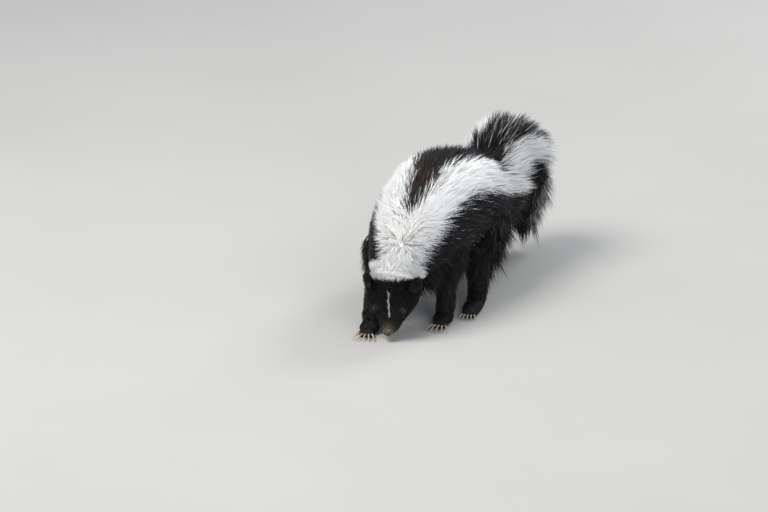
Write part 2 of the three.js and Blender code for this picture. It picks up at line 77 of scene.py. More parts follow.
# Along the body, from inside the head to the tail's end: place, half width, height above and below
# the middle line, all to the coat's tips, and the coat's depth
BODY = [
    (-3.5, 26, 68, 31, 21, 21, 2),
    (-4, 42, 84, 41, 31, 29, 8),
    (-4, 64, 96, 51, 39, 39, 14),
    (-6, 96, 102, 62, 51, 49, 18),
    (-9, 135, 106, 69, 67, 55, 22),
    (-10, 175, 109, 73, 75, 59, 26),
    (-8, 215, 109, 73, 73, 59, 28),
    (-3, 248, 109, 66, 61, 57, 28),
    (4, 273, 120, 54, 50, 50, 32),
    (10, 297, 138, 50, 46, 46, 38),
    (15, 321, 146, 55, 50, 46, 45),
    (18, 344, 136, 56, 51, 44, 45),
    (20, 359, 109, 49, 48, 41, 40),
    (21, 365, 78, 38, 36, 34, 31),
    (22, 366, 50, 24, 23, 22, 19),
]
UPPER_LIMBS = {
    "left_thigh": [
        (26, 236, 118, 34, 44, 40, 18), (38, 206, 98, 31, 40, 36, 16),
        (46, 176, 78, 24, 29, 26, 11), (48, 158, 60, 17, 20, 19, 6),
    ],
    "right_thigh": [
        (-34, 236, 116, 34, 44, 40, 18), (-46, 240, 92, 30, 40, 36, 16),
        (-52, 240, 70, 23, 29, 26, 11), (-53, 246, 50, 16, 20, 18, 6),
    ],
    "left_shoulder": [
        (24, 104, 106, 32, 36, 34, 14), (32, 108, 82, 25, 29, 27, 12),
        (33, 106, 62, 18, 21, 20, 7),
    ],
    "right_shoulder": [
        (-40, 96, 104, 30, 36, 34, 14), (-47, 84, 78, 24, 28, 27, 12),
        (-46, 74, 58, 17, 20, 19, 7),
    ],
}
LOWER_LIMBS = {
    "front_left": [
        (33, 107, 74, 15, 17, 16, 3), (32, 103, 52, 13, 14, 14, 3),
        (34, 97, 32, 11.5, 11.5, 12, 2.5), (35, 93, 16, 12, 11, 12, 2),
        (35, 91, 9, 11.5, 9, 11, 1.5),
    ],
    "front_right": [
        (-46, 78, 68, 14, 16, 15, 3), (-45, 66, 46, 13, 13.5, 13, 3),
        (-41, 49, 28, 12, 11, 11, 2.5), (-37, 36, 15, 12.5, 9.5, 10, 2),
        (-35, 29, 10, 11.5, 8, 8.5, 1.5),
    ],
    "hind_left": [
        (47, 162, 74, 18, 22, 20, 4), (49, 158, 52, 15, 18, 16, 3.5),
        (50, 158, 32, 12.5, 13, 13, 2.5), (50, 157, 16, 12, 11, 12, 2),
        (51, 151, 9, 12, 9, 11, 1.5),
    ],
    "hind_right": [
        (-52, 240, 66, 18, 21, 20, 4), (-53, 250, 48, 14.5, 17, 15, 3.5),
        (-53, 262, 33, 12, 13, 12, 2.5), (-53, 269, 18, 11.5, 10.5, 11, 2),
        (-53, 265, 10, 11.5, 8.5, 10, 1.5),
    ],
}
# The head, in its own frame: the origin at the nose tip, +Y back to the skull, +Z to the forehead
HEAD = [
    (0, 2.5, -1, 7.5, 5, 5, 0.6),
    (0, 8, -1.5, 12, 8, 8.5, 1),
    (0, 18, -1, 17, 11, 11, 1.6),
    (0, 28, 0, 24, 14.5, 14.5, 2.4),
    (0, 40, 1, 31.5, 18.5, 18.5, 4.5),
    (0, 53, 1.5, 35.5, 21, 21.5, 6.5),
    (0, 66, 1, 35.5, 22, 21.5, 7.5),
    (0, 0.95 * HEAD_LENGTH, 0, 30, 20, 18, 7),
    (0, 1.05 * HEAD_LENGTH, 0, 19, 13, 12, 5),
]
# Paws: the wrist or heel, the toes' root, half width, height and claw length
PAWS = {
    "front_left": ((35, 95), (38, 76), 13, 15, FRONT_CLAW),
    "front_right": ((-35, 33), (-31, 12), 13, 14, FRONT_CLAW),
    "hind_left": ((50, 160), (56, 123), 12.5, 14, HIND_CLAW),
    "hind_right": ((-53, 271), (-57, 236), 12.5, 14, HIND_CLAW),
}
TOES = 5
TOE_FAN = 0.45
TOE_RADIUS = 5
TOE_SHAPE = np.array((1.5, 0.78, 0.95)) * TOE_RADIUS
PAD_SHARE = 0.6  # the same on the paws
END_TAPER = 0.45  # how much a station past a loft's end narrows the coat


def size_of(v):
    return np.linalg.norm(v, axis=-1)


def unit(v):
    return v / np.maximum(size_of(v)[..., None], 1e-9)


def moved(matrix, points):
    return np.asarray(points, float) @ matrix[:3, :3].T + matrix[:3, 3]


def turned(axis, degrees):
    return np.array(Matrix.Rotation(math.radians(degrees), 4, axis))


def circle(n):
    return np.arange(n) / n * 2 * math.pi


def rise(x, start, span):
    """From 0 at start to 1 a span further on."""
    return np.clip((x - start) / span, 0, 1)


def bell(x, width, middle=0):
    """A bell curve, 1 at its middle."""
    return np.exp(-(((x - middle) / width) ** 2))


def mixed(a, b, share):
    share = np.asarray(share)[..., None]
    return a * (1 - share) + b * share


class Spline:
    """A smooth line through points, by a share from 0 to 1 (centripetal Catmull-Rom)."""

    def __init__(self, points):
        p = np.array(points, float)
        self.points = np.vstack([2 * p[0] - p[1], p, 2 * p[-1] - p[-2]])
        self.last = len(p) - 1
        gap = size_of(np.diff(self.points, axis=0)) ** 0.5
        self.gap = np.where(gap < 1e-4, 1.0, gap)

    def __call__(self, share):
        x = np.clip(share, 0, 1) * self.last
        i = np.minimum(x.astype(int), self.last - 1)
        w = (x - i)[:, None]
        a, b, c, d = (self.points[i + k] for k in range(4))
        g0, g1, g2 = (self.gap[i + k][:, None] for k in range(3))
        m0 = ((b - a) / g0 - (c - a) / (g0 + g1) + (c - b) / g1) * g1
        m1 = ((c - b) / g1 - (d - b) / (g1 + g2) + (d - c) / g2) * g1
        curve = (-3 * b + 3 * c - 2 * m0 - m1) * w**2 + (2 * b - 2 * c + m0 + m1) * w**3
        return b + m0 * w + curve


class Loft:
    """A body of changing size along a smooth line through stations."""

    def __init__(self, stations, place=np.eye(4)):
        rows = np.array(stations, float)
        self.last = len(rows) - 1
        self.line = Spline(rows[:, :3])
        self.size = Spline(rows[:, 3:6])
        self.depth = Spline(np.column_stack([rows[:, 6], np.arange(len(rows))]))
        self.step = size_of(np.diff(self.line(np.linspace(0, 1, 400)), axis=0)).sum() / self.last
        self.place = place

    def frame(self, at):
        """The middle line's share, directions and points, in the loft's own frame."""
        t = np.clip(at / self.last, 0, 1)
        along = unit(self.line(np.minimum(t + 1e-4, 1)) - self.line(np.maximum(t - 1e-4, 0)))
        side = unit(np.array([1.0, 0, 0]) - along * along[:, :1])
        up = np.cross(side, along)
        centre = self.line(t) + along * ((at - t * self.last) * self.step)[:, None]
        return t, along, side, up, centre

    def coat(self, at):
        return self.depth(np.clip(at / self.last, 0, 1))[:, 0]

    def point(self, at, angle, grow=0.0):
        """Points on the coat's surface, moved out by grow, and the middle line's points."""
        at, angle, grow = np.broadcast_arrays(np.atleast_1d(at).astype(float), angle, grow)
        t, _, side, up, centre = self.frame(at)
        past = np.maximum(at - self.last, 0)
        size = self.size(t) * np.maximum(1 - END_TAPER * past, 0.3)[:, None]
        c, s = np.cos(angle), np.sin(angle)
        wide = np.maximum(size[:, 0] + grow, 1)
        high = np.maximum(np.where(s > 0, size[:, 1], size[:, 2]) + grow, 1)
        out = centre + side * (c * wide)[:, None] + up * (s * high)[:, None]
        return moved(self.place, out), moved(self.place, centre)

    def where(self, p):
        """Station, angle and share of the radius for points near the loft."""
        stations = np.linspace(0, self.last, 12 * self.last + 1)
        _, along, _, _, centre = self.frame(stations)
        q = moved(np.linalg.inv(self.place), p)
        best = np.argmin(((q[:, None, :] - centre[None]) ** 2).sum(2), axis=1)
        at = stations[best] + ((q - centre[best]) * along[best]).sum(1) / self.step
        at = np.clip(at, 0, self.last)
        t, along, side, up, centre = self.frame(at)
        size = self.size(t)
        off = q - centre
        x = (off * side).sum(1) / size[:, 0]
        y = (off * up).sum(1)
        y = y / np.where(y > 0, size[:, 1], size[:, 2])
        past = np.abs((off * along).sum(1)) / size[:, 0]
        return at, np.arctan2(y, x), np.sqrt(x * x + y * y + past * past)


HEAD_PLACE = np.array(Matrix.Translation(NOSE_TIP)) @ turned("Z", HEAD_YAW) @ turned("X", HEAD_PITCH)
eye_low, eye_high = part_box("eye_left")
SHIFT = np.array((eye_low + eye_high) / 2) / MM - moved(HEAD_PLACE, EYE_PLACE)

body = Loft(BODY)
head = Loft(HEAD, HEAD_PLACE)
uppers = {name: Loft(rows) for name, rows in UPPER_LIMBS.items()}
lowers = {name: Loft(rows) for name, rows in LOWER_LIMBS.items()}


def in_head(points):
    """Points in the head's own frame."""
    return moved(np.linalg.inv(HEAD_PLACE), points)


def mirrored(place, side):
    return np.array((side * place[0], *place[1:]), float)


def from_eye(points, side):
    """The ways to points from an eye's middle, all in the head's frame."""
    return points - mirrored(EYE_PLACE, side)


def between(name, share):
    """A place on the ground from a paw's heel, at 0, to its toes' root, at 1."""
    heel, toes = np.array(PAWS[name][0], float), np.array(PAWS[name][1], float)
    return heel + (toes - heel) * share


def pad_loft(name):
    wide, tall = PAWS[name][2:4]
    return Loft([
        (*between(name, 1.12), 0.36 * tall, 0.8 * wide, 0.34 * tall, 0.4 * tall, 1.6),
        (*between(name, 0.85), 0.45 * tall, wide, 0.45 * tall, 0.5 * tall, 1.8),
        (*between(name, 0.4), 0.55 * tall, 0.9 * wide, 0.6 * tall, 0.62 * tall, 2),
        (*between(name, 0), 0.55 * tall, 0.85 * wide, 0.62 * tall, 0.62 * tall, 2),
    ])


pads = {name: pad_loft(name) for name in PAWS}

# Each loft has its own rectangle of the unwrap: left, low, width and height
PATCHES = {body: (0.01, 0.01, 0.98, 0.54), head: (0.01, 0.57, 0.38, 0.42)}
for i, loft in enumerate([*uppers.values(), *lowers.values(), *pads.values()]):
    PATCHES[loft] = (0.41 + 0.148 * (i % 4), 0.57 + 0.143 * (i // 4), 0.138, 0.13)


def unwrap(loft, at, angle):
    """The unwrap's place of a station and an angle, cut along the belly."""
    left, low, wide, high = PATCHES[loft]
    round_share = ((angle + math.pi / 2) / (2 * math.pi)) % 1
    return np.column_stack([left + wide * at / loft.last, low + high * round_share])


# Meshes

LOOKS = {}  # the materials by name, since the solids' own may have the same names


def painted(mesh, colours, uvs=None):
    """Gives a mesh a colour for each point and a place on the unwrap for each corner."""
    layer = mesh.color_attributes.new("coat", "FLOAT_COLOR", "POINT")
    rgba = np.column_stack([colours, np.ones(len(colours))])
    layer.data.foreach_set("color", rgba.astype(np.float32).ravel())
    if uvs is not None:
        mesh.uv_layers.new(name="OFBake").data.foreach_set("uv", uvs.astype(np.float32).ravel())


def placed(name, data):
    made = bpy.data.objects.new(name, data)
    scene.collection.objects.link(made)
    return made


def mesh_object(name, look, faces, points, colours=None, uvs=None, normals=None):
    """A mesh from triangles and points, with a colour, a place on the unwrap and a normal for each."""
    mesh = bpy.data.meshes.new(name)
    mesh.from_pydata((points + SHIFT) * MM, [], faces, shade_flat=False)
    if colours is not None:
        painted(mesh, colours, None if uvs is None else uvs[faces.ravel()])
    if normals is not None:
        mesh.normals_split_custom_set_from_vertices(normals.tolist())
    mesh.materials.append(LOOKS[look])
    return placed(name, mesh)


def read(rows, key, wide=3, kind=np.float32):
    """One attribute of a mesh's rows."""
    values = np.empty(len(rows) * wide, kind)
    rows.foreach_get(key, values)
    return values.reshape(-1, 3)


def positions(mesh):
    return read(mesh.vertices, "co").astype(float) / MM - SHIFT


def over(rings, first, last):
    """A closed surface's triangles and points, over rings and with a point at each end."""
    count, n = np.shape(rings)[:2]
    points = np.vstack([[first], np.reshape(rings, (-1, 3)), [last]])
    i = 1 + np.arange(n)
    j = 1 + i % n
    faces = [np.column_stack([0 * i, j, i])]
    for low in range(0, (count - 1) * n, n):
        faces.append(np.column_stack([low + i, low + j, low + n + i]))
        faces.append(np.column_stack([low + j, low + n + j, low + n + i]))
    top = (count - 1) * n
    faces.append(np.column_stack([0 * i + len(points) - 1, top + i, top + j]))
    return np.vstack(faces), points


def lofted(loft, rings, sides, share=SKIN_SHARE):
    """The closed surface under a loft's coat."""
    stations = np.linspace(0, loft.last, rings)
    grow = -share * loft.coat(stations)
    layers = [loft.point(s, circle(sides), g)[0] for s, g in zip(stations, grow)]
    _, along, _, _, centre = loft.frame(stations[[0, -1]])
    round_end = 0.45 * (loft.size(np.zeros(1))[0, 0] + grow[0])
    ends = moved(loft.place, centre + along * np.array([[-round_end], [round_end * 0.8]]))
    return over(layers, *ends)


def ball(centre, radii, axes=np.eye(3), across=32, down=20, place=np.eye(4)):
    """A stretched ball's triangles and points."""
    theta = (np.arange(1, down) / down * math.pi)[:, None]
    phi = circle(across)
    rings = [np.sin(theta) * np.cos(phi), np.sin(theta) * np.sin(phi), np.cos(theta) + 0 * phi]
    faces, points = over(np.stack(rings, -1), (0, 0, 1), (0, 0, -1))
    return faces, moved(place, np.asarray(centre) + (points * radii) @ axes)


def tube(points, radii, sides):
    """A tube along points with a radius for each, closed at both ends."""
    along = unit(np.gradient(points, axis=0))
    side = unit(np.cross(along, [0.3, 0.2, 0.93]))
    up = np.cross(side, along)
    phi = circle(sides)[:, None]
    rings = [p + r * (np.cos(phi) * a + np.sin(phi) * b) for p, r, a, b in zip(points, radii, side, up)]
    return over(rings, points[0], points[-1])


def gathered(parts):
    """Several surfaces as one list of triangles and one of points."""
    starts = np.cumsum([0] + [len(points) for _, points in parts])
    faces = np.vstack([f + start for (f, _), start in zip(parts, starts)])
    return faces, np.vstack([points for _, points in parts])


# Markings. White is a share from 0 to 1 at a station and an angle.

WHITE_LEFT = [(0, -22), (0.5, -2), (0.9, 34), (1.5, 46), (2.2, 50), (3, 48), (3.8, 41), (4.7, 33), (5.6, 27),
              (7, 19), (8.2, 13), (9.2, -2), (10.2, -9), (10.9, -4), (12, 2), (14, 6)]
WHITE_RIGHT = [(0, 205), (0.5, 170), (0.8, 112), (1.2, 106), (1.7, 122), (2.3, 136), (3, 143), (3.8, 149),
               (4.7, 156), (5.6, 161), (7, 167), (8.2, 174), (9.2, 192), (10.2, 190), (10.9, 182), (14, 174)]
BLACK_LEFT = [(2.1, 88), (3, 78), (3.6, 78), (4.25, 77), (4.9, 71), (5.7, 66), (7, 64), (8.2, 61), (8.9, 50),
              (9.7, 39), (10.7, 35), (12, 34), (14, 30)]
BLACK_RIGHT = [(2.1, 89), (2.8, 97), (3.3, 103), (3.9, 109), (4.6, 115), (5.3, 126), (6, 137), (7, 140),
               (8.2, 133), (8.8, 119), (9.5, 110), (10.5, 117), (12, 132), (14, 146)]
EDGE = 5  # degrees over which two colours mix


def border(table, at):
    return np.interp(at, *np.array(table, float).T)


def ramp(x, soft=EDGE):
    return np.clip(0.5 + x / soft, 0, 1)


def round_degrees(angle):
    """An angle round the body in degrees, from -90 under the belly over the left side to 270."""
    return (np.degrees(angle) + 90) % 360 - 90


def body_white(at, angle):
    """How white the coat is on the body and tail."""
    a = round_degrees(angle)
    inside = np.minimum(ramp(a - border(WHITE_LEFT, at)), ramp(border(WHITE_RIGHT, at) - a))
    dorsal = np.minimum(ramp(a - border(BLACK_LEFT, at)), ramp(border(BLACK_RIGHT, at) - a))
    return inside * (1 - np.where(at < BLACK_LEFT[0][0], 0, dorsal))


BLAZE_LOW, BLAZE_HIGH = (20.6, 1.4), (46.5, -1.0)  # its ends, along the head and across it
BLAZE_HALF = 0.95
CAP_EDGE = 62
CAP_DROP = (2, 13)  # how much further back the cap's edge is at the right side and at the left one


def head_white(p):
    """The same on the head, from points in its frame."""
    x, y, z = p.T
    side = np.clip(np.abs(np.arctan2(x, z + 2)) / math.pi * 2, 0, 1.3)
    cap = ramp(y - CAP_EDGE - np.where(x > 0, CAP_DROP[1], CAP_DROP[0]) * side**2, 2.0)
    share = rise(y, BLAZE_LOW[0], BLAZE_HIGH[0] - BLAZE_LOW[0])
    middle = BLAZE_LOW[1] + (BLAZE_HIGH[1] - BLAZE_LOW[1]) * share
    ends = np.minimum(ramp(y - BLAZE_LOW[0] + 1, 2), ramp(BLAZE_HIGH[0] - y + 1, 2))
    blaze = np.where(z > 0, ramp(BLAZE_HALF * (0.8 + 0.15 * share) - np.abs(x - middle), 0.5) * ends, 0)
    return np.maximum(cap, blaze)


BLACK = np.array((0.0042, 0.0038, 0.0044))
# Bluish grey for silvery hair tips; it also stands for painted highlights on the black coat
GREY_TIP_AND_HIGHLIGHT = np.array((0.042, 0.046, 0.058))
BROWN = np.array((0.055, 0.030, 0.016))
FACE = np.array((0.0066, 0.0055, 0.0051))
RUST = np.array((0.045, 0.024, 0.016))
DUST = np.array((0.220, 0.170, 0.118))
WHITE = np.array((0.93, 0.93, 0.92))
WHITE_ROOT = np.array((0.82, 0.81, 0.78))
EAR_INSIDE = np.array((0.009, 0.006, 0.005))
EAR_RIM = np.array((0.050, 0.032, 0.023))


def face_dust(p):
    """How dusty the muzzle is, from points in the head's frame."""
    return rise(p[:, 1], 15, -10) * bell(p[:, 0], 8) * (p[:, 2] > -6)


# Materials


def material(name, roughness, specular=0.5):
    """A new material's shader."""
    made = LOOKS[name] = bpy.data.materials.new(name)
    made.use_nodes = True
    shader = made.node_tree.nodes["Principled BSDF"]
    shader.inputs["Roughness"].default_value = roughness
    shader.inputs["Specular IOR Level"].default_value = specular
    return shader


def wire(shader, source, name):
    shader.id_data.links.new(source, shader.inputs[name])


def node(shader, kind, **settings):
    """A node beside the shader, with its inputs set to values or linked to other nodes."""
    made = shader.id_data.nodes.new("ShaderNode" + kind)
    for key, value in settings.items():
        if isinstance(value, bpy.types.NodeSocket):
            wire(made, value, key)
        elif key in made.inputs:
            made.inputs[key].default_value = value
        else:
            setattr(made, key, value)
    return made


def noise(shader, scale, detail=3, stretch=(1, 1, 1)):
    """Noise in the object's own place, stretched along some axes."""
    place = node(shader, "TexCoord").outputs["Object"]
    place = node(shader, "Mapping", Vector=place, Scale=stretch).outputs["Vector"]
    return node(shader, "TexNoise", Vector=place, Scale=scale, Detail=detail).outputs["Fac"]


def ranged(shader, source, low, high):
    return node(shader, "MapRange", Value=source, **{"To Min": low, "To Max": high}).outputs["Result"]


def bump(shader, height, strength, distance):
    made = node(shader, "Bump", Height=height, Strength=strength, Distance=distance)
    wire(shader, made.outputs["Normal"], "Normal")


def blended(shader, share, a, b, kind="MIX"):
    """The base colour from two others."""
    mix = node(shader, "Mix", data_type="RGBA", blend_type=kind, Factor=share, A=a, B=b)
    wire(shader, mix.outputs["Result"], "Base Color")


def painted_material(name, roughness, specular, low, high, scale):
    """A material of the painted colour, darker and lighter by a fine noise."""
    shader = material(name, roughness, specular)
    coat = node(shader, "Attribute", attribute_name="coat").outputs["Color"]
    value = ranged(shader, noise(shader, scale), low, high)
    grey = node(shader, "CombineColor", Red=value, Green=value, Blue=value).outputs["Color"]
    blended(shader, 1, coat, grey, "MULTIPLY")
    return shader


def make_hair_material():
    shader = painted_material("hair", 0.4, 0.22, 0.85, 1.12, 700)
    wire(shader, ranged(shader, noise(shader, 500), 0.28, 0.5), "Roughness")


def make_skin_material():
    shader = painted_material("skin", 0.75, 0.3, 0.7, 1.2, 900)
    bump(shader, noise(shader, 900, 4, (1, 0.35, 0.35)), 0.5, 0.0006)


def make_nose_material():
    shader = material("nose_leather", 0.5)
    dust = ranged(shader, noise(shader, 420, 6), -1.3, 1.7)
    blended(shader, dust, (0.030, 0.021, 0.017, 1), (0.34, 0.27, 0.18, 1))
    bump(shader, node(shader, "TexVoronoi", Scale=1500).outputs["Distance"], 0.6, 0.0004)


def make_eye_material():
    shader = material("eye", 0.05, 0.32)
    shader.inputs["Coat Weight"].default_value = 0.12
    shader.inputs["Coat Roughness"].default_value = 0.02
    blended(shader, noise(shader, 400), (0.004, 0.003, 0.003, 1), (0.018, 0.010, 0.006, 1))


def make_claw_material():
    shader = painted_material("claw", 0.35, 0.5, 0.75, 1.15, 500)
    bump(shader, noise(shader, 700), 0.2, 0.0003)


def make_floor_material():
    shader = material("floor", 0.8, 0.2)
    blended(shader, noise(shader, 3), (0.43, 0.42, 0.40, 1), (0.48, 0.47, 0.45, 1))


# The skin


def squared(side, out, along):
    """Two directions of the left side, mirrored for side -1 and made square."""
    out = unit(mirrored(out, side))
    along = mirrored(along, side)
    return out, unit(along - out * (along @ out))


def eye_axes(side):
    """The eye's own directions in the head's frame: along the slit, across it, and outwards."""
    out, slit = squared(side, (0.7, -0.42, 0.58), (0.35, 0.9, -0.1))
    return np.array([slit, np.cross(out, slit), out])


def ear_frame(side):
    """An ear's wide, tall and open directions and its middle, in the head's frame."""
    opening, tall = squared(side, (0.62, -0.42, 0.66), (0.35, 0.9, 0.2))
    return np.array([np.cross(tall, opening), tall, opening]), mirrored(EAR_PLACE, side)


def ear_point(side, share, turn, back):
    """A point of the ear's cup: share is 0 at its bottom and 1 at its rim, back 1 is its outer face."""
    axes, middle = ear_frame(side)
    reach = share - 0.1 * (1 - back) * share
    deep = EAR_DEEP * (share**2 - 0.55) - EAR_WALL * back * (1 - 0.5 * share**4)
    flat = np.stack([EAR_WIDE * reach * np.cos(turn), EAR_TALL * reach * np.sin(turn), deep], -1)
    return flat @ axes + middle


def ear_surface(side):
    """A thin cup with a round rim, closed."""
    turn = circle(40)
    shares = np.linspace(0.12, 1, 9)
    rings = [ear_point(side, np.full(40, s), turn, 1) for s in shares]
    rings += [ear_point(side, np.full(40, s), turn, 0) for s in shares[::-1]]
    ends = [ear_point(side, np.zeros(1), np.zeros(1), back)[0] for back in (1, 0)]
    faces, points = over(rings, *ends)
    return faces, moved(HEAD_PLACE, points)


def eye_surface(side, radius, across=32, down=20):
    return ball(mirrored(EYE_PLACE, side), radius, eye_axes(side), across, down, HEAD_PLACE)


def toes_of(name):
    """Each toe's place and way."""
    forward = unit(between(name, 1) - between(name, 0))
    for i in range(TOES):
        turn = TOE_FAN * (2 * i / (TOES - 1) - 1)
        c, s = math.cos(turn), math.sin(turn)
        way = np.array((c * forward[0] - s * forward[1], s * forward[0] + c * forward[1], 0))
        middle = np.array((*between(name, 0.95), 0.85 * TOE_RADIUS)) + way * 0.86 * PAWS[name][2]
        yield middle, way


def toe_axes(way):
    return np.array([way, np.cross((0, 0, 1), way), (0, 0, 1)])


def skin_surface():
    """All the fleshy forms, as closed surfaces that overlap."""
    parts = [lofted(body, 150, 72), lofted(head, 70, 64)]
    parts += [lofted(loft, 40, 40) for loft in uppers.values()]
    parts += [lofted(loft, 50, 36) for loft in lowers.values()]
    for side in (1, -1):
        parts += [ear_surface(side), eye_surface(side, EYE_RADIUS + LID)]
    for name, pad in pads.items():
        parts.append(lofted(pad, 24, 32, PAD_SHARE))
        parts += [ball(middle, TOE_SHAPE - 0.3, toe_axes(way), 20, 14) for middle, way in toes_of(name)]
    return gathered(parts)


def modifier(obj, kind, **settings):
    made = obj.modifiers.new(kind, kind)
    for key, value in settings.items():
        setattr(made, key, value)


def applied(obj):
    """Replaces an object's mesh by what its modifiers make of it."""
    graph = bpy.context.evaluated_depsgraph_get()
    mesh = bpy.data.meshes.new_from_object(obj.evaluated_get(graph))
    obj.modifiers.clear()
    old, obj.data = obj.data, mesh
    bpy.data.meshes.remove(old)


def edited(mesh, change):
    """Changes a mesh by a function of its bmesh."""
    work = bmesh.new()
    work.from_mesh(mesh)
    change(work)
    work.to_mesh(mesh)
    work.free()


def refined(mesh, centre, radius):
    """Splits the edges within a radius of a place."""
    place = Vector((centre + SHIFT) * MM)

    def split(work):
        near = [e for e in work.edges if all((v.co - place).length < radius * MM for v in e.verts)]
        bmesh.ops.subdivide_edges(work, edges=near, cuts=2, use_grid_fill=True)

    edited(mesh, split)


MOUTH = [(3.7, -24), (3, -28), (2, -34), (1.2, -44), (0.6, -62)]  # its left half: stations and angles
MOUTH_FRONT = (0.3, -90)
MOUTH_DEEP = 1.3
LIP_HIGH = 0.5


def carve_mouth(points, out):
    """A groove along the mouth from corner to corner, with a lip on each side."""
    right = [(at, -180 - angle) for at, angle in MOUTH[::-1]]
    marks = np.array([*MOUTH, MOUTH_FRONT, *right], float).T
    fine = np.linspace(0, len(marks[0]) - 1, 80)
    at, angle = (np.interp(fine, np.arange(len(row)), row) for row in marks)
    line = head.point(at, np.radians(angle), -0.8)[0]
    near = np.where(size_of(points - line.mean(0)) < 45)[0]
    gap = size_of(points[near, None] - line[None]).min(1)
    points[near] -= out[near] * (MOUTH_DEEP * bell(gap, 0.9) - LIP_HIGH * bell(gap, 1.2, 2.4))[:, None]


def carve_lids(points, side):
    """Opens an almond slit over the eyeball, with a rim round it."""
    axes = eye_axes(side)
    local = from_eye(in_head(points), side) @ axes.T
    x, y, z = local.T
    radius = size_of(local)
    near = (radius < LIDS_REACH) & (z > 0.5)
    half = SLIT_HIGH * np.sqrt(np.clip(1 - (x / SLIT_LONG) ** 2, 0, 1))
    edge = np.abs(y + SLIT_LOW) - half
    opened = np.clip(0.5 - edge / 0.5, 0, 1)
    goal = np.where(opened > 0, radius + (EYE_RADIUS - 1.0 - radius) * opened, radius)
    goal = goal + 0.45 * bell(edge, 0.8, 0.7) * (opened < 0.5)
    local = local * np.where(near, goal / np.maximum(radius, 1e-6), 1)[:, None]
    points[near] = moved(HEAD_PLACE, local @ axes + mirrored(EYE_PLACE, side))[near]


def nearest_loft(points):
    """For each point its loft's number, station and angle."""
    found = [loft.where(points) for loft in PATCHES]
    best = np.array([f[2] for f in found]).argmin(0)
    return best, *(np.choose(best, [f[k] for f in found]) for k in (0, 1))


NAPE = 76  # how far back along the head its own markings reach
BODY_NUMBER, HEAD_NUMBER = 0, 1  # among the lofts


def skin_colours(points, best, at, angle):
    on_body = best == BODY_NUMBER
    local = in_head(points)
    on_head = (best == HEAD_NUMBER) | (on_body & (local[:, 1] < NAPE))
    white = np.zeros(len(points))
    white[on_body] = body_white(at[on_body], angle[on_body])
    white[on_head] = head_white(local[on_head])
    colours = mixed(BLACK * 1.2, WHITE_ROOT, white)
    dusty = face_dust(local) * chance.uniform(0.1, 1, len(local))
    colours[on_head] = mixed(mixed(FACE, DUST, dusty), WHITE_ROOT * 0.8, white)[on_head]
    for side in (1, -1):
        axes, middle = ear_frame(side)
        x, y, z = ((local - middle) @ axes.T).T
        reach = np.sqrt((x / EAR_WIDE) ** 2 + (y / EAR_TALL) ** 2)
        on_ear = (reach < 1.15) & (z > -2.5) & (z < EAR_DEEP)
        colours[on_ear] = mixed(EAR_INSIDE, EAR_RIM, ramp(reach - 0.97, 0.12))[on_ear]
        colours[size_of(from_eye(local, side)) < EYE_RADIUS + 3] = FACE * 0.4
    return colours


def make_skin():
    skin = mesh_object("skin", "skin", *skin_surface())
    modifier(skin, "REMESH", mode="VOXEL", voxel_size=VOXEL * MM)
    modifier(skin, "SMOOTH", iterations=4, factor=0.5)
    applied(skin)
    local = in_head(positions(skin.data))
    elsewhere = (local[:, 1] > 80) | (np.abs(local[:, ::2]) > 60).any(1)
    skin.vertex_groups.new(name="fewer").add(np.where(elsewhere)[0].tolist(), 1.0, "REPLACE")
    modifier(skin, "DECIMATE", ratio=0.35, vertex_group="fewer", use_collapse_triangulate=True)
    applied(skin)
    skin.vertex_groups.clear()
    mesh = skin.data
    for side in (1, -1):
        refined(mesh, moved(HEAD_PLACE, mirrored(EYE_PLACE, side)), LIDS_REACH)
    edited(mesh, lambda work: bmesh.ops.triangulate(work, faces=work.faces[:]))
    points = positions(mesh)
    carve_mouth(points, read(mesh.vertex_normals, "vector").astype(float))
    for side in (1, -1):
        carve_lids(points, side)
    points[:, 2] = np.maximum(points[:, 2], 0)
    mesh.vertices.foreach_set("co", ((points + SHIFT) * MM).astype(np.float32).ravel())
    mesh.update()
    finish_skin(mesh, points)
    return skin


def finish_skin(mesh, points):
    """Gives the skin its markings and its unwrap."""
    best, at, angle = nearest_loft(points)
    corner = read(mesh.loops, "vertex_index", 1, np.int32)
    uvs = np.zeros((len(corner), 3, 2))
    for k, loft in enumerate(PATCHES):
        mine = best[corner[:, 0]] == k
        if not mine.any():
            continue
        high = PATCHES[loft][3]
        middle = unwrap(loft, *loft.where(points[corner[mine]].mean(1))[:2])
        for c in range(3):
            spot = unwrap(loft, *loft.where(points[corner[mine, c]])[:2])
            spot[:, 1] -= high * np.round((spot[:, 1] - middle[:, 1]) / high)
            uvs[mine, c] = spot
    painted(mesh, skin_colours(points, best, at, angle), uvs)
    mesh.polygons.foreach_set("use_smooth", np.full(len(corner), True))


# The coat

PATCH = 0.003  # how wide a tuft is on the unwrap
STEPS = np.array((0.0, 0.45, 1.0))  # a strand's rings and tip along it
WIDTHS = np.array((0.8, 1.0))
RINGS = len(WIDTHS)
SECTION = np.array(((1.0, -0.2), (0.0, 0.38), (-1.0, -0.2)))
MOST = 198000  # triangles of one piece

chance = np.random.default_rng(SEED)

# A strand's triangles: points 0 to 2 are the ring at its root, 3 to 5 the next one, and 6 is its tip
STRAND = np.array([
    (0, 1, 2), (0, 3, 1), (1, 3, 4), (1, 4, 2), (2, 4, 5), (2, 5, 0), (0, 5, 3),
    (3, 6, 4), (4, 6, 5), (5, 6, 3),
])
STRAND_POINTS = 7


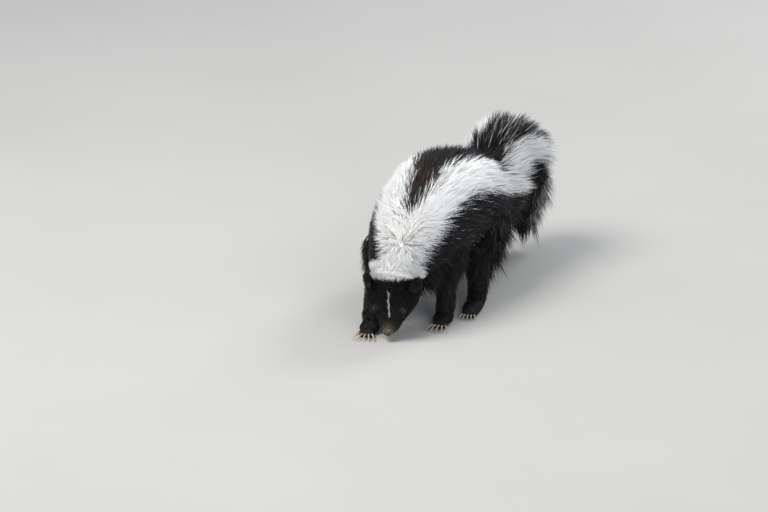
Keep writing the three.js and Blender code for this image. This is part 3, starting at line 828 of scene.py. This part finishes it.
class Coat:
    """Strands of one area, kept until they are made into pieces."""

    def __init__(self, name, slot):
        self.name, self.slot, self.strands = name, slot, []

    def add(self, path, out, width, root, tip, spots, spread=None):
        """Adds strands. out faces away from the body, and spots are places on the unwrap. The paler
        a strand, the more its normals lean to out, so that pale hair shades as one mass."""
        n = len(path)
        half = (0.5 * (width * chance.uniform(0.7, 1.25, n))[:, None] * WIDTHS)[:, :, None, None]
        roll = chance.normal(0, 0.5, n)[:, None, None]
        spread = chance.random(n) if spread is None else np.full(n, spread)
        along = unit(path[:, 1:] - path[:, :1])
        across = unit(np.cross(along, out))
        up = np.cross(across, along)
        across, up = across * np.cos(roll) + up * np.sin(roll), up * np.cos(roll) - across * np.sin(roll)
        section = across[:, :, None] * SECTION[:, :1] + up[:, :, None] * SECTION[:, 1:]
        rings = path[:, :RINGS, None] + half * section
        soft = np.clip(0.96 * tip.mean(1), 0.05, 0.93)[:, None, None, None]
        facing = unit(unit(section) * (1 - soft) + out[:, :, None] * soft)
        points = np.concatenate([rings.reshape(n, -1, 3), path[:, RINGS:]], 1)
        facing = np.concatenate([facing.reshape(n, -1, 3), out[:, -1:]], 1)
        share = np.repeat(STEPS, [3] * RINGS + [1])
        colours = root[:, None] * (1 - share[:, None]) + tip[:, None] * share[:, None]
        u = spots[:, :1] + PATCH * (spread[:, None] - 0.5) * 0.9
        v = spots[:, 1:] + PATCH * (share - 0.5) * 0.9
        self.strands.append((points, colours, np.stack([np.broadcast_to(u, v.shape), v], -1), facing))

    def make(self):
        kept = [np.concatenate(values) for values in zip(*self.strands)]
        points = kept[0]
        points[..., 2] = np.maximum(points[..., 2], 0)
        pieces = math.ceil(len(points) / (MOST // len(STRAND)))
        for k, part in enumerate(np.array_split(np.arange(len(points)), pieces)):
            faces = (STRAND + STRAND_POINTS * np.arange(len(part))[:, None, None]).reshape(-1, 3)
            name = self.name if pieces == 1 else f"{self.name}_{k + 1}"
            flat = [values[part].reshape(-1, values.shape[-1]) for values in kept]
            piece = mesh_object(name, "hair", faces, *flat)
            yield piece


def tuft_places(loft, spacing, first, last, low=-90, high=270):
    """Even places of tufts on a loft, as stations and angles."""
    stations, angles = [], []
    ring = np.radians(np.linspace(low, high, 91))
    at = first
    while at < last:
        here, further = (loft.point(at + d, ring)[0] for d in (0, 0.05))
        arc = np.concatenate([[0], np.cumsum(size_of(np.diff(here, axis=0)))])
        scale = size_of(further - here).max() / 0.05
        count = max(3, int(arc[-1] / spacing))
        marks = (np.arange(count) + chance.random()) / count * arc[-1]
        marks = marks + chance.uniform(-0.4, 0.4, count) * spacing
        angles.append(np.interp(marks, arc, ring))
        stations.append(at + chance.uniform(-0.4, 0.4, count) * spacing / scale)
        at += 0.87 * spacing / scale
    return np.clip(np.concatenate(stations), 0, loft.last), np.concatenate(angles)


def scales(loft, at, angle):
    """Millimetres on the coat's surface to a station and to a radian, and both directions."""
    d = 0.02
    along = (loft.point(at + d, angle)[0] - loft.point(at - d, angle)[0]) / (2 * d)
    around = (loft.point(at, angle + d)[0] - loft.point(at, angle - d)[0]) / (2 * d)
    sizes = np.maximum(size_of([along, around]), [[0.6 * loft.step], [4]]).T
    return sizes, along / sizes[:, :1], around / sizes[:, 1:]


def steady(*pairs):
    """A function of the station through (station, value) pairs."""
    x, y = np.array(pairs, float).T
    return lambda at, angle=None: np.interp(at, x, y)


def fur(coat, loft, area, spacing, strands, length, width, way, colour, depth=None, tips=(-0.3, 0.04),
        gather=steady((0, 0.6)), spread=3.0, straight=None, keep=None, pull=None, jitter=0.16):
    """Tufts of strands on a loft. tips are how far the tips lie out from the coat's surface, by its
    depth. straight is the share of a path that doesn't bend with the surface, and pull turns it."""
    at, angle = tuft_places(loft, spacing * THIN, *area)
    if keep:
        mine = keep(at, angle)
        at, angle = at[mine], angle[mine]
    n = len(at)
    tight = gather(at, angle)[:, None]
    sizes, along, around = scales(loft, at, angle)
    ahead, beside = way(at, angle, along, around).T
    turn = chance.normal(0, jitter, n)
    c, s = np.cos(turn), np.sin(turn)
    run = np.column_stack([ahead * c - beside * s, ahead * s + beside * c])
    lie = along * run[:, :1] + around * run[:, 1:]
    if pull:
        lie = unit(lie + pull(at, angle))
    reach = length(at, angle) * chance.uniform(0.8, 1.15, n)
    deep = depth(at) if depth else SKIN_SHARE * loft.coat(at)
    out_by = chance.uniform(*tips, n)
    for k in range(strands):
        radius = spread * np.sqrt(chance.random(n))
        phi = chance.uniform(0, 2 * math.pi, n)
        shift = np.column_stack([radius * np.cos(phi), radius * np.sin(phi)])
        own = (reach * chance.uniform(0.7, 1.12, n))[:, None]
        stray = chance.normal(0, 0.10, (n, 2)) * own
        lift = np.clip(out_by + chance.normal(0, 0.08, n), tips[0] - 0.1, tips[1])
        path, out, grown = [], [], []
        for s in STEPS:
            a, b = ((shift * (1 - tight * s) + run * own * s + stray * s * s) / sizes).T
            up = math.sin(s * math.pi / 2)
            grown.append(-(deep + 1) * (1 - up) + lift * deep * up)
            here, centre = loft.point(at + a, angle + b, grown[-1])
            path.append(here)
            out.append(unit(here - centre))
        path = np.stack(path, 1)
        if straight:
            share = straight(at)[:, None]
            for i, s in enumerate(STEPS):
                line = path[:, 0] + lie * (own * s) + out[0] * (grown[i] - grown[0])[:, None]
                path[:, i] = path[:, i] * (1 - share) + line * share
        shade = chance.uniform(0.82, 1.14, n)[:, None]
        a, b = (shift / sizes).T
        root, tip = colour(at + a, angle + b)
        coat.add(path, np.stack(out[:RINGS], 1), width(at), root * shade, tip * shade,
                 unwrap(loft, at, angle), (k + 0.5) / strands)


def hairs(coat, loft, roots, outs, ways, length, width, root_colour, tip_colour, lean):
    """Single hairs that leave their roots along outs and bend over towards ways."""
    n = len(roots)
    own = (length * chance.uniform(0.7, 1.2, n))[:, None]
    ways = unit(ways + chance.normal(0, 0.12, (n, 3)))
    path = [roots + own * (ways * s + outs * lean * s * (1.4 - s)) for s in STEPS]
    shade = chance.uniform(0.8, 1.2, n)[:, None]
    coat.add(np.stack(path, 1), np.repeat(outs[:, None], RINGS, 1), width, root_colour * shade,
             tip_colour * shade, unwrap(loft, *loft.where(roots)[:2]))


WHORL = np.array(((2.0, 41, 123), (3.0, 60, 137)))  # the two ends of its parting
WHORL_REACH = 42
PARTING_HALF = 8
# Darker, browner roots along the whorl's parting: painted shade in the parting, and the roots' own brown
PARTING_PAINTED_SHADE = np.array((0.40, 0.45, 0.50))


def from_whorl(place):
    """The way to places from the nearest point of the whorl's parting."""
    line = WHORL[1] - WHORL[0]
    share = np.clip((place - WHORL[0]) @ line / (line @ line), 0, 1)
    return place - WHORL[0] - share[:, None] * line


def whorl_gap(at, angle):
    return size_of(from_whorl(body.point(at, angle)[0]))


def clear_of_face(at, angle):
    """Keeps tufts off the eyes and the nose pad."""
    place = in_head(head.point(at, angle)[0])
    keep = place[:, 1] > 5.5
    for side in (1, -1):
        keep &= size_of(from_eye(place, side)) > EYE_RADIUS + 1.2
    return keep


def plain_way(down, ahead=1):
    """A lie back along a loft, or forward for an ahead of -1, that turns down its sides."""
    def way(at, angle, along, around):
        return unit(np.column_stack([np.full(len(at), float(ahead)), -down * np.cos(angle)]))
    return way


def body_way(at, angle, along, around):
    """The lie on the body: backwards and down the flanks, and outwards from the whorl."""
    down = np.interp(at, (0, 3, 7, 8.5, 14), (0.5, 0.55, 0.6, 0.2, 0.05))
    here = body.point(at, angle)[0]
    away = from_whorl(here)
    gap = size_of(away)
    radial = unit(np.column_stack([(away * along).sum(1), (away * around).sum(1)]))
    ahead = rise(here[:, 1], 49, -30) * (here[:, 2] > 70)
    near = bell(gap, WHORL_REACH * (1 + 0.8 * ahead)) * (1 - bell(gap, 8))
    near = (near * rise(at, 0.2, 0.3))[:, None]
    return unit(plain_way(down)(at, angle, along, around) * (1 - near) + radial * near)


def body_gather(at, angle):
    """How far a tuft's strands come together at its tip: more in the black coat."""
    return 0.7 - 0.5 * body_white(at, angle)


# Shares of the grey tip and highlight colour; the bright specks are painted highlights
LEAST_GREY_AND_HIGHLIGHT = 0.03
HIGHLIGHT_SPECK = 1.6
HIGHLIGHT_SPECK_OFTEN = 0.01


def grey_tip_and_highlight_share(often):
    """How far dark tips take the grey tip and highlight colour: most hardly, some dimly as silvery tips and
    painted highlights, a few brightly as painted highlight specks.
    """
    n = len(often)
    share = np.where(chance.random(n) < often, chance.uniform(0.2, 1.1, n), LEAST_GREY_AND_HIGHLIGHT)
    return np.where(chance.random(n) < HIGHLIGHT_SPECK_OFTEN, HIGHLIGHT_SPECK, share)


def body_colour(at, angle):
    """Root and tip colours of the tufts on the body and tail."""
    n = len(at)
    wander = chance.normal(0, 2.2, n) + chance.normal(0, 1, n) * np.interp(at, (6, 7.5), (0, 5))
    white = body_white(at, angle + np.radians(wander))
    white = (white > chance.uniform(0.25, 0.75, n)).astype(float)
    a = round_degrees(angle)
    top = bell(a, 40, 88)
    frosted = (chance.random(n) < 0.17 * rise(at, 8.3, 0.8) * bell(a, 50, 75)) & (white < 0.5)
    wisps = (chance.random(n) < 0.2 * rise(at, 11, 1) * (np.abs(a - 10) < 45)) & (white < 0.5)
    brown = top * bell(at, 1.0, 3.3) * chance.uniform(0.2, 0.9, n)
    brown = np.maximum(brown, 0.25 * chance.random(n) ** 3)
    dark = mixed(BLACK, BROWN, brown)
    # Silvery tips and painted highlights on the black, more often along the top of the back
    grey_and_highlight = grey_tip_and_highlight_share(0.09 + 0.2 * top * (at > 4))
    tip = mixed(mixed(dark, GREY_TIP_AND_HIGHLIGHT, grey_and_highlight), WHITE * chance.uniform(0.92, 1.05, n)[:, None], white)
    # Painted shade along the whorl's parting, darker and browner at the roots
    parting = bell(whorl_gap(at, angle), 12)[:, None]
    root = mixed(dark, WHITE_ROOT, white) * (1 - parting * PARTING_PAINTED_SHADE)
    pale = (frosted | wisps)[:, None]
    tip = np.where(pale, WHITE * chance.uniform(0.15, 0.7, n)[:, None], tip)
    return np.where(pale, mixed(dark, WHITE_ROOT, 0.4), root), tip


# Painted highlights: short bright strands that stand for glints of light on the black
def painted_highlight_colour(at, angle):
    bright = GREY_TIP_AND_HIGHLIGHT * (0.5 + 8 * chance.random(len(at)) ** 4)[:, None]
    return bright, bright


def wisp_colour(at, angle):
    """Grey and white hairs among black ones."""
    n = len(at)
    pale = (chance.random(n) < 0.7) * chance.uniform(0.15, 0.7, n)
    return mixed(BLACK, WHITE_ROOT, 0.6 * pale), mixed(BLACK, WHITE, pale)


def dark_colour(at, angle):
    """Black with a little brown, and here and there a tip of silvery grey and painted highlight."""
    n = len(at)
    dark = mixed(BLACK, BROWN, 0.2 * chance.random(n) ** 2)
    return dark, mixed(dark, GREY_TIP_AND_HIGHLIGHT, grey_tip_and_highlight_share(np.full(n, 0.07)))


def head_colour(at, angle):
    n = len(at)
    local = in_head(head.point(at, angle)[0])
    local = local + chance.normal(0, 0.22, local.shape)
    white = (head_white(local) > chance.uniform(0.3, 0.7, n)).astype(float)
    cheek = np.exp(-((np.abs(local[:, 0]) - 15) ** 2 + (local[:, 1] - 24) ** 2) / 120)
    rusty = mixed(FACE, RUST, (0.2 + 0.7 * cheek) * chance.random(n) ** 2)
    # Grey hairs by the eyes and cheeks, partly painted highlight
    rusty = mixed(rusty, GREY_TIP_AND_HIGHLIGHT, (chance.random(n) < 0.3 * cheek) * chance.random(n))
    dark = mixed(rusty, DUST, face_dust(local) * chance.random(n))
    # Painted shade: the head's white is darker than the body's, and darker still forward of the cap, on the
    # blaze
    pale = WHITE * (0.55 + 0.22 * rise(local[:, 1], 56, 4)[:, None])
    return mixed(dark, pale * 0.85, white), mixed(dark, pale, white)


RUMP_LIE = np.array((0.5, 0.8, 0.3))


def rump_pull(at, angle):
    """Turns the hair of the rump's left side out towards the tail."""
    left = rise(angle, 1.6, -0.3) * rise(angle, -0.1, 0.3)
    return RUMP_LIE * (1.3 * left * np.interp(at, (5.8, 7), (0, 1)))[:, None]


def tail_length(at, angle):
    """Hair of many lengths, the more so at the tail's end."""
    even = np.interp(at, (8.1, 9, 11, 12.5, 14), (40, 34, 33, 40, 52))
    return even * (1 - np.clip(at - 12.6, 0, 1.4) * 0.45 * chance.random(len(at)))


def head_length(at, angle):
    """Short on top, and longer on the cheeks and throat."""
    short = np.interp(at, (0, 1, 2, 4, 6, 8), (2.4, 3, 3.6, 4.6, 5.6, 9))
    long = np.interp(at, (0, 1, 2, 3, 4, 5, 8), (2.4, 3.2, 4, 5.5, 8.5, 12, 13))
    top = np.clip(np.sin(angle) * 1.6, 0, 1)
    return short * top + long * (1 - top)


BODY_HAIR = {"way": body_way, "colour": body_colour, "gather": body_gather}


def make_neck():
    """The main coat, and short hair that fills the parting."""
    neck = Coat("coat_neck", "white_fur")
    fur(neck, body, (0.3, 3.0), 4.1, 10,
        steady((0.3, 10), (0.5, 11), (1, 17), (1.6, 23), (2.2, 27), (3, 32)),
        steady((0, 0.5), (1, 0.65), (3, 0.9)), tips=(-0.16, 0), spread=3.4, jitter=0.09,
        keep=lambda s, a: s > 0.3 + 0.1 * chance.random(len(s)), **BODY_HAIR)
    fur(neck, body, (0.4, 2.4, 50, 130), 2.6, 6, steady((0, 9)), steady((0, 0.6)), tips=(-0.3, -0.05),
        spread=2.2, jitter=0.6, keep=lambda s, a: whorl_gap(s, a) < PARTING_HALF, **BODY_HAIR)
    return neck


def make_torso():
    """The main coat, and sparse short strands of painted highlight over the black of the flank."""
    torso = Coat("coat_body", "black_fur")
    fur(torso, body, (3.0, 8.2), 5.2, 10, steady((3, 32), (5, 38), (6.4, 44), (7, 52), (8.2, 46)),
        steady((3, 0.9), (5, 1)), tips=(-0.45, 0.08), spread=4.2, pull=rump_pull,
        straight=steady((3, 0.1), (6, 0.3), (6.8, 0.8)), **BODY_HAIR)
    fur(torso, body, (1.2, 8, -70, 75), 9, 1, steady((0, 5)), steady((0, 0.7)), body_way, painted_highlight_colour,
        steady((0, 2)), tips=(-0.3, 0.05), keep=lambda s, a: body_white(s, a) < 0.1)
    return torso


def make_tail():
    tail = Coat("coat_tail", "black_fur")
    fur(tail, body, (8.1, 14), 5.45, 10, tail_length, steady((8, 1), (14, 0.85)), tips=(-0.5, 0),
        spread=4.2, straight=steady((8.1, 0.7), (9, 0.35), (14, 0.3)), **BODY_HAIR)
    return tail


def fringe(coat, loft, area, length, fall, sides=(1, -1), colour=dark_colour):
    """Long hair that hangs from a loft, between two angles and between their mirrored ones."""
    first, last, low, high = area
    for side in sides:
        angles = (low, high) if side > 0 else (180 - high, 180 - low)

        def ragged(s, a):
            below = high - np.degrees(a if side > 0 else math.pi - a)
            inside = np.minimum((s - first) / 0.5, (last - s) / 0.5)
            return chance.random(len(s)) < np.minimum(inside, below / 35)

        fur(coat, loft, (first, last, *angles), 6, 8,
            lambda s, a: length * chance.uniform(0.6, 1.05, len(s)), steady((0, 0.95)), plain_way(0.3),
            colour, tips=(-0.6, 0.04), gather=lambda s, a: chance.uniform(0.1, 0.6, len(s)), spread=5,
            straight=steady((0, 1)), keep=ragged, pull=lambda s, a: mirrored(fall, side), jitter=0.3)


def make_fringes():
    coat = Coat("coat_fringe", "black_fur")
    fringe(coat, body, (0.7, 3.4, -80, 5), 40, (0, 0.1, -2))
    fringe(coat, body, (2.9, 6.8, -75, -5), 33, (0.1, 0.4, -2))
    fringe(coat, body, (6.1, 8.7, -65, 16), 50, (0.15, 0.5, -1.8))
    fringe(coat, uppers["left_thigh"], (0.3, 3.3, 10, 140), 36, (0.15, 1, -1.4), (1,))
    fringe(coat, uppers["right_thigh"], (0.3, 3.3, 10, 140), 36, (0.15, 1, -1.4), (-1,))
    fringe(coat, uppers["left_shoulder"], (0.1, 2.2, -70, 80), 27, (0.1, 0.5, -1), (1,))
    fringe(coat, uppers["right_shoulder"], (0, 2.2, -70, 80), 27, (0.3, 0.5, -1), (-1,))
    fringe(coat, body, (11.6, 14.2, -5, 80), 42, (0.25, 0.1, -1.6), (1,), wisp_colour)
    return coat


def make_limbs():
    limbs = Coat("coat_limbs", "black_fur")
    for loft in uppers.values():
        fur(limbs, loft, (0.3, loft.last), 6.2, 7, steady((0, 34), (1, 32), (2, 28), (3, 21)),
            steady((0, 1.05), (3, 0.9)), plain_way(0.1), dark_colour, tips=(-0.3, 0.3), spread=4)
    for loft in lowers.values():
        fur(limbs, loft, (0.4, loft.last), 4.1, 6, steady((0, 19), (2, 14), (4, 8)),
            steady((0, 0.85), (4, 0.6)), plain_way(0.1), dark_colour, tips=(-0.3, 0.9), spread=2.8)
    for pad in pads.values():
        fur(limbs, pad, (0.2, 2.95, -20, 200), 2.9, 5, steady((0, 6.5)), steady((0, 0.5), (3, 0.55)),
            plain_way(0.5, -1), dark_colour, lambda s: PAD_SHARE * pad.coat(s), (-0.3, 0.3), spread=1.9)
    make_toe_hair(limbs)
    return limbs


def make_toe_hair(coat):
    count = 60 // THIN
    for name, pad in pads.items():
        for middle, way in toes_of(name):
            axes = toe_axes(way)
            turn = chance.uniform(0, math.pi, count)
            front = chance.uniform(-0.75, 0.6, count)
            side = np.sqrt(1 - front**2)
            flat = np.column_stack([front, side * np.cos(turn), side * np.sin(turn)])
            outs = unit(flat / TOE_SHAPE) @ axes
            roots = middle + (flat * (TOE_SHAPE - 0.6)) @ axes
            # The toe hairs' tips are silvery grey, partly painted highlight
            hairs(coat, pad, roots, outs, way - np.array((0, 0, 0.25)), 4.2, 0.4, BLACK,
                  mixed(BLACK, GREY_TIP_AND_HIGHLIGHT, 0.35), 0.25)


def turned_way(ways):
    return ways @ HEAD_PLACE[:3, :3].T


# Hair on an ear: how many, from and to which share of its cup, on its back or not, length, tip colour
EAR_HAIR = (
    (360, 0.95, 1.0, 1, 2.8, EAR_RIM),
    (300, 0.9, 0.98, 0, 2.0, EAR_RIM * 0.6),
    (520, 0.55, 0.95, 1, 5.0, BLACK * 2),
    (160, 0.35, 0.8, 0, 3.5, EAR_RIM * 0.5),
)


def make_ear_hair(coat):
    for side in (1, -1):
        axes = ear_frame(side)[0]
        for count, low, high, back, length, tip in EAR_HAIR:
            n = count // THIN
            turn = chance.uniform(0, 2 * math.pi, n)
            roots = ear_point(side, chance.uniform(low, high, n), turn, back)
            radial = np.column_stack([np.cos(turn), np.sin(turn), np.zeros(n)]) @ axes
            outs = turned_way(unit(radial * 0.3 + axes[2] * (0.5 - back)))
            ways = turned_way(unit(radial + axes[2] * 0.35))
            hairs(coat, head, moved(HEAD_PLACE, roots), outs, ways, length, 0.32,
                  mixed(BLACK, tip, 0.5), tip, 0.3)


def make_head_hair():
    face = Coat("coat_head", "short_fur")
    fur(face, head, (0.35, 8), 2.9, 7, head_length,
        steady((0, 0.26), (2, 0.34), (4, 0.46), (8, 0.55)), plain_way(0), head_colour,
        tips=(-0.35, 0.12), spread=2.1, keep=clear_of_face)
    make_ear_hair(face)
    return face


WHISKERS = 8  # on each side


def make_whiskers():
    coat = Coat("whiskers", "black_fur")
    for side in (1, -1):
        at = chance.uniform(1.0, 2.1, WHISKERS)
        angle = np.radians(chance.uniform(-38, 12, WHISKERS))
        roots, centres = head.point(at, angle if side > 0 else math.pi - angle, -2.0)
        outs = unit(roots - centres)
        back = turned_way(np.array((0, 1, 0.1)))
        ways = unit(outs + back * chance.uniform(0.2, 0.7, WHISKERS)[:, None])
        hairs(coat, head, roots, outs, ways, 22, 0.22, BLACK, BLACK, 0.3)
    return coat


def make_coat():
    limbs = make_limbs()
    trunk = (make_neck(), make_torso(), make_fringes(), make_tail())
    coats = (*trunk, limbs, make_head_hair(), make_whiskers())
    return [piece for coat in coats for piece in coat.make()]


# Eyes, nose and claws


def make_eyes():
    for name, side in (("eye_ball_left", 1), ("eye_ball_right", -1)):
        eye = mesh_object(name, "eye", *eye_surface(side, EYE_RADIUS, 40, 24))
        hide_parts(name.replace("_ball", ""))
        yield eye


NOSE_SIZE = np.array((6.4, 5.2, 5.0))
GROOVE_DEEP = 0.7
NOSTRIL_DEEP = 2.2
NOSTRIL_SLIT_DEEP = 1.6


def make_nose():
    """The bare nose pad with its two comma-shaped nostrils and the groove between them."""
    faces, points = ball((0, 0, 0), NOSE_SIZE, across=72, down=48)
    x, y, z = points.T
    dent = GROOVE_DEEP * bell(x, 0.6) * (y < 0) * (z < 0.5 * NOSE_SIZE[2])
    for side in (1, -1):
        hole = bell(x, 1.25, side * 2.9) * bell(z, 1.6, -0.3)
        slit = bell(x, 1.3, side * 5.0) * bell(z, 0.7, -1.4)
        dent += (NOSTRIL_DEEP * hole + NOSTRIL_SLIT_DEEP * slit) * (y < 0.2 * NOSE_SIZE[1])
    points = points + np.outer(dent, (0, 1, 0)) + (0, 2.6, 1)
    nose = mesh_object("nose_pad", "nose_leather", faces, moved(HEAD_PLACE, points))
    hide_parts("nose")
    return nose


CLAW_TIP = np.array((0.52, 0.43, 0.32))
CLAW_ROOT = np.array((0.20, 0.14, 0.10))


def make_claws():
    parts, colours = [], []
    s = np.linspace(0, 1, 12)
    for name, (*_, length) in PAWS.items():
        for middle, way in toes_of(name):
            root = middle + way * 1.1 * TOE_RADIUS
            drop = min(root[2] - 1.2, 0.42 * length)
            line = root + way * (length * (s - 0.12))[:, None]
            line[:, 2] += 0.12 * length * np.sin(s * math.pi) - drop * s * s
            parts.append(tube(line, CLAW_RADIUS * (1 - 0.86 * s**1.6), 12))
            share = np.clip((parts[-1][1] - root) @ way / length, 0, 1)
            colours.append(mixed(CLAW_ROOT, CLAW_TIP, share**0.7))
    claws = mesh_object("claws", "claw", *gathered(parts), np.vstack(colours))
    return claws


# The studio

VIEW_AZIMUTH = math.radians(24.4)
VIEW_ELEVATION = math.radians(20)
VIEW_DISTANCE = 5150
LENS = 200
FRAME_CENTRE = (-4.8, 102.4)  # to the right of the nose's ground point and above it, in the view
LIGHTS = {  # place and size in metres, power and colour
    "key": ((-0.8, -0.9, 2.1), 1.3, 50, (1, 0.98, 0.95)),
    "fill": ((1.9, -1.4, 1.4), 1.6, 20, (0.94, 0.97, 1)),
    "rim": ((0.6, 2.0, 1.6), 0.8, 26, (1, 1, 1)),
}
FLOOR_HALF = 12000


def make_camera():
    level = math.cos(VIEW_ELEVATION)
    right = np.array((math.cos(VIEW_AZIMUTH), math.sin(VIEW_AZIMUTH), 0))
    back = np.array((right[1] * level, -right[0] * level, math.sin(VIEW_ELEVATION)))
    up = np.cross(back, right)
    place = right * FRAME_CENTRE[0] + up * FRAME_CENTRE[1] + back * VIEW_DISTANCE
    data = bpy.data.cameras.new("camera")
    data.lens = LENS
    data.sensor_width = 36
    data.clip_end = 50
    scene.camera = placed("camera", data)
    matrix = np.eye(4)
    matrix[:3] = np.column_stack([right, up, back, (place + SHIFT) * MM])
    scene.camera.matrix_world = Matrix(matrix.tolist())


def make_studio():
    corners = np.array([(-1, -1, 0), (1, -1, 0), (1, 1, 0), (-1, 1, 0)]) * float(FLOOR_HALF)
    floor = mesh_object("floor", "floor", [(0, 1, 2), (0, 2, 3)], corners - SHIFT)
    for name, (place, size, power, colour) in LIGHTS.items():
        data = bpy.data.lights.new(name, "AREA")
        data.shape = "DISK"
        data.size = size
        data.energy = power
        data.color = colour
        light = placed(name, data)
        light.location = place
        light.rotation_euler = (Vector((0, 0, 0.1)) - Vector(place)).to_track_quat("-Z", "Y").to_euler()
    world = bpy.data.worlds.new("world")
    world.use_nodes = True
    sky = world.node_tree.nodes["Background"].inputs
    sky["Color"].default_value = (0.80, 0.86, 0.95, 1)
    sky["Strength"].default_value = 0.64
    scene.world = world
    scene.view_settings.view_transform = "Standard"


FLESH = ["neck", "torso", "tail_root", "tail_arch", "tail_end", "head", "ear_left", "ear_right"]
FLESH += [f"{kind}_{name}" for kind in ("leg", "paw") for name in PAWS]

for make in (make_hair_material, make_skin_material, make_nose_material, make_eye_material,
             make_claw_material, make_floor_material, make_camera, make_studio):
    make()
skin = make_skin()
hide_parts(*FLESH)
for piece in [skin, *make_coat(), *make_eyes(), make_nose(), make_claws()]:
    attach(piece, "root")
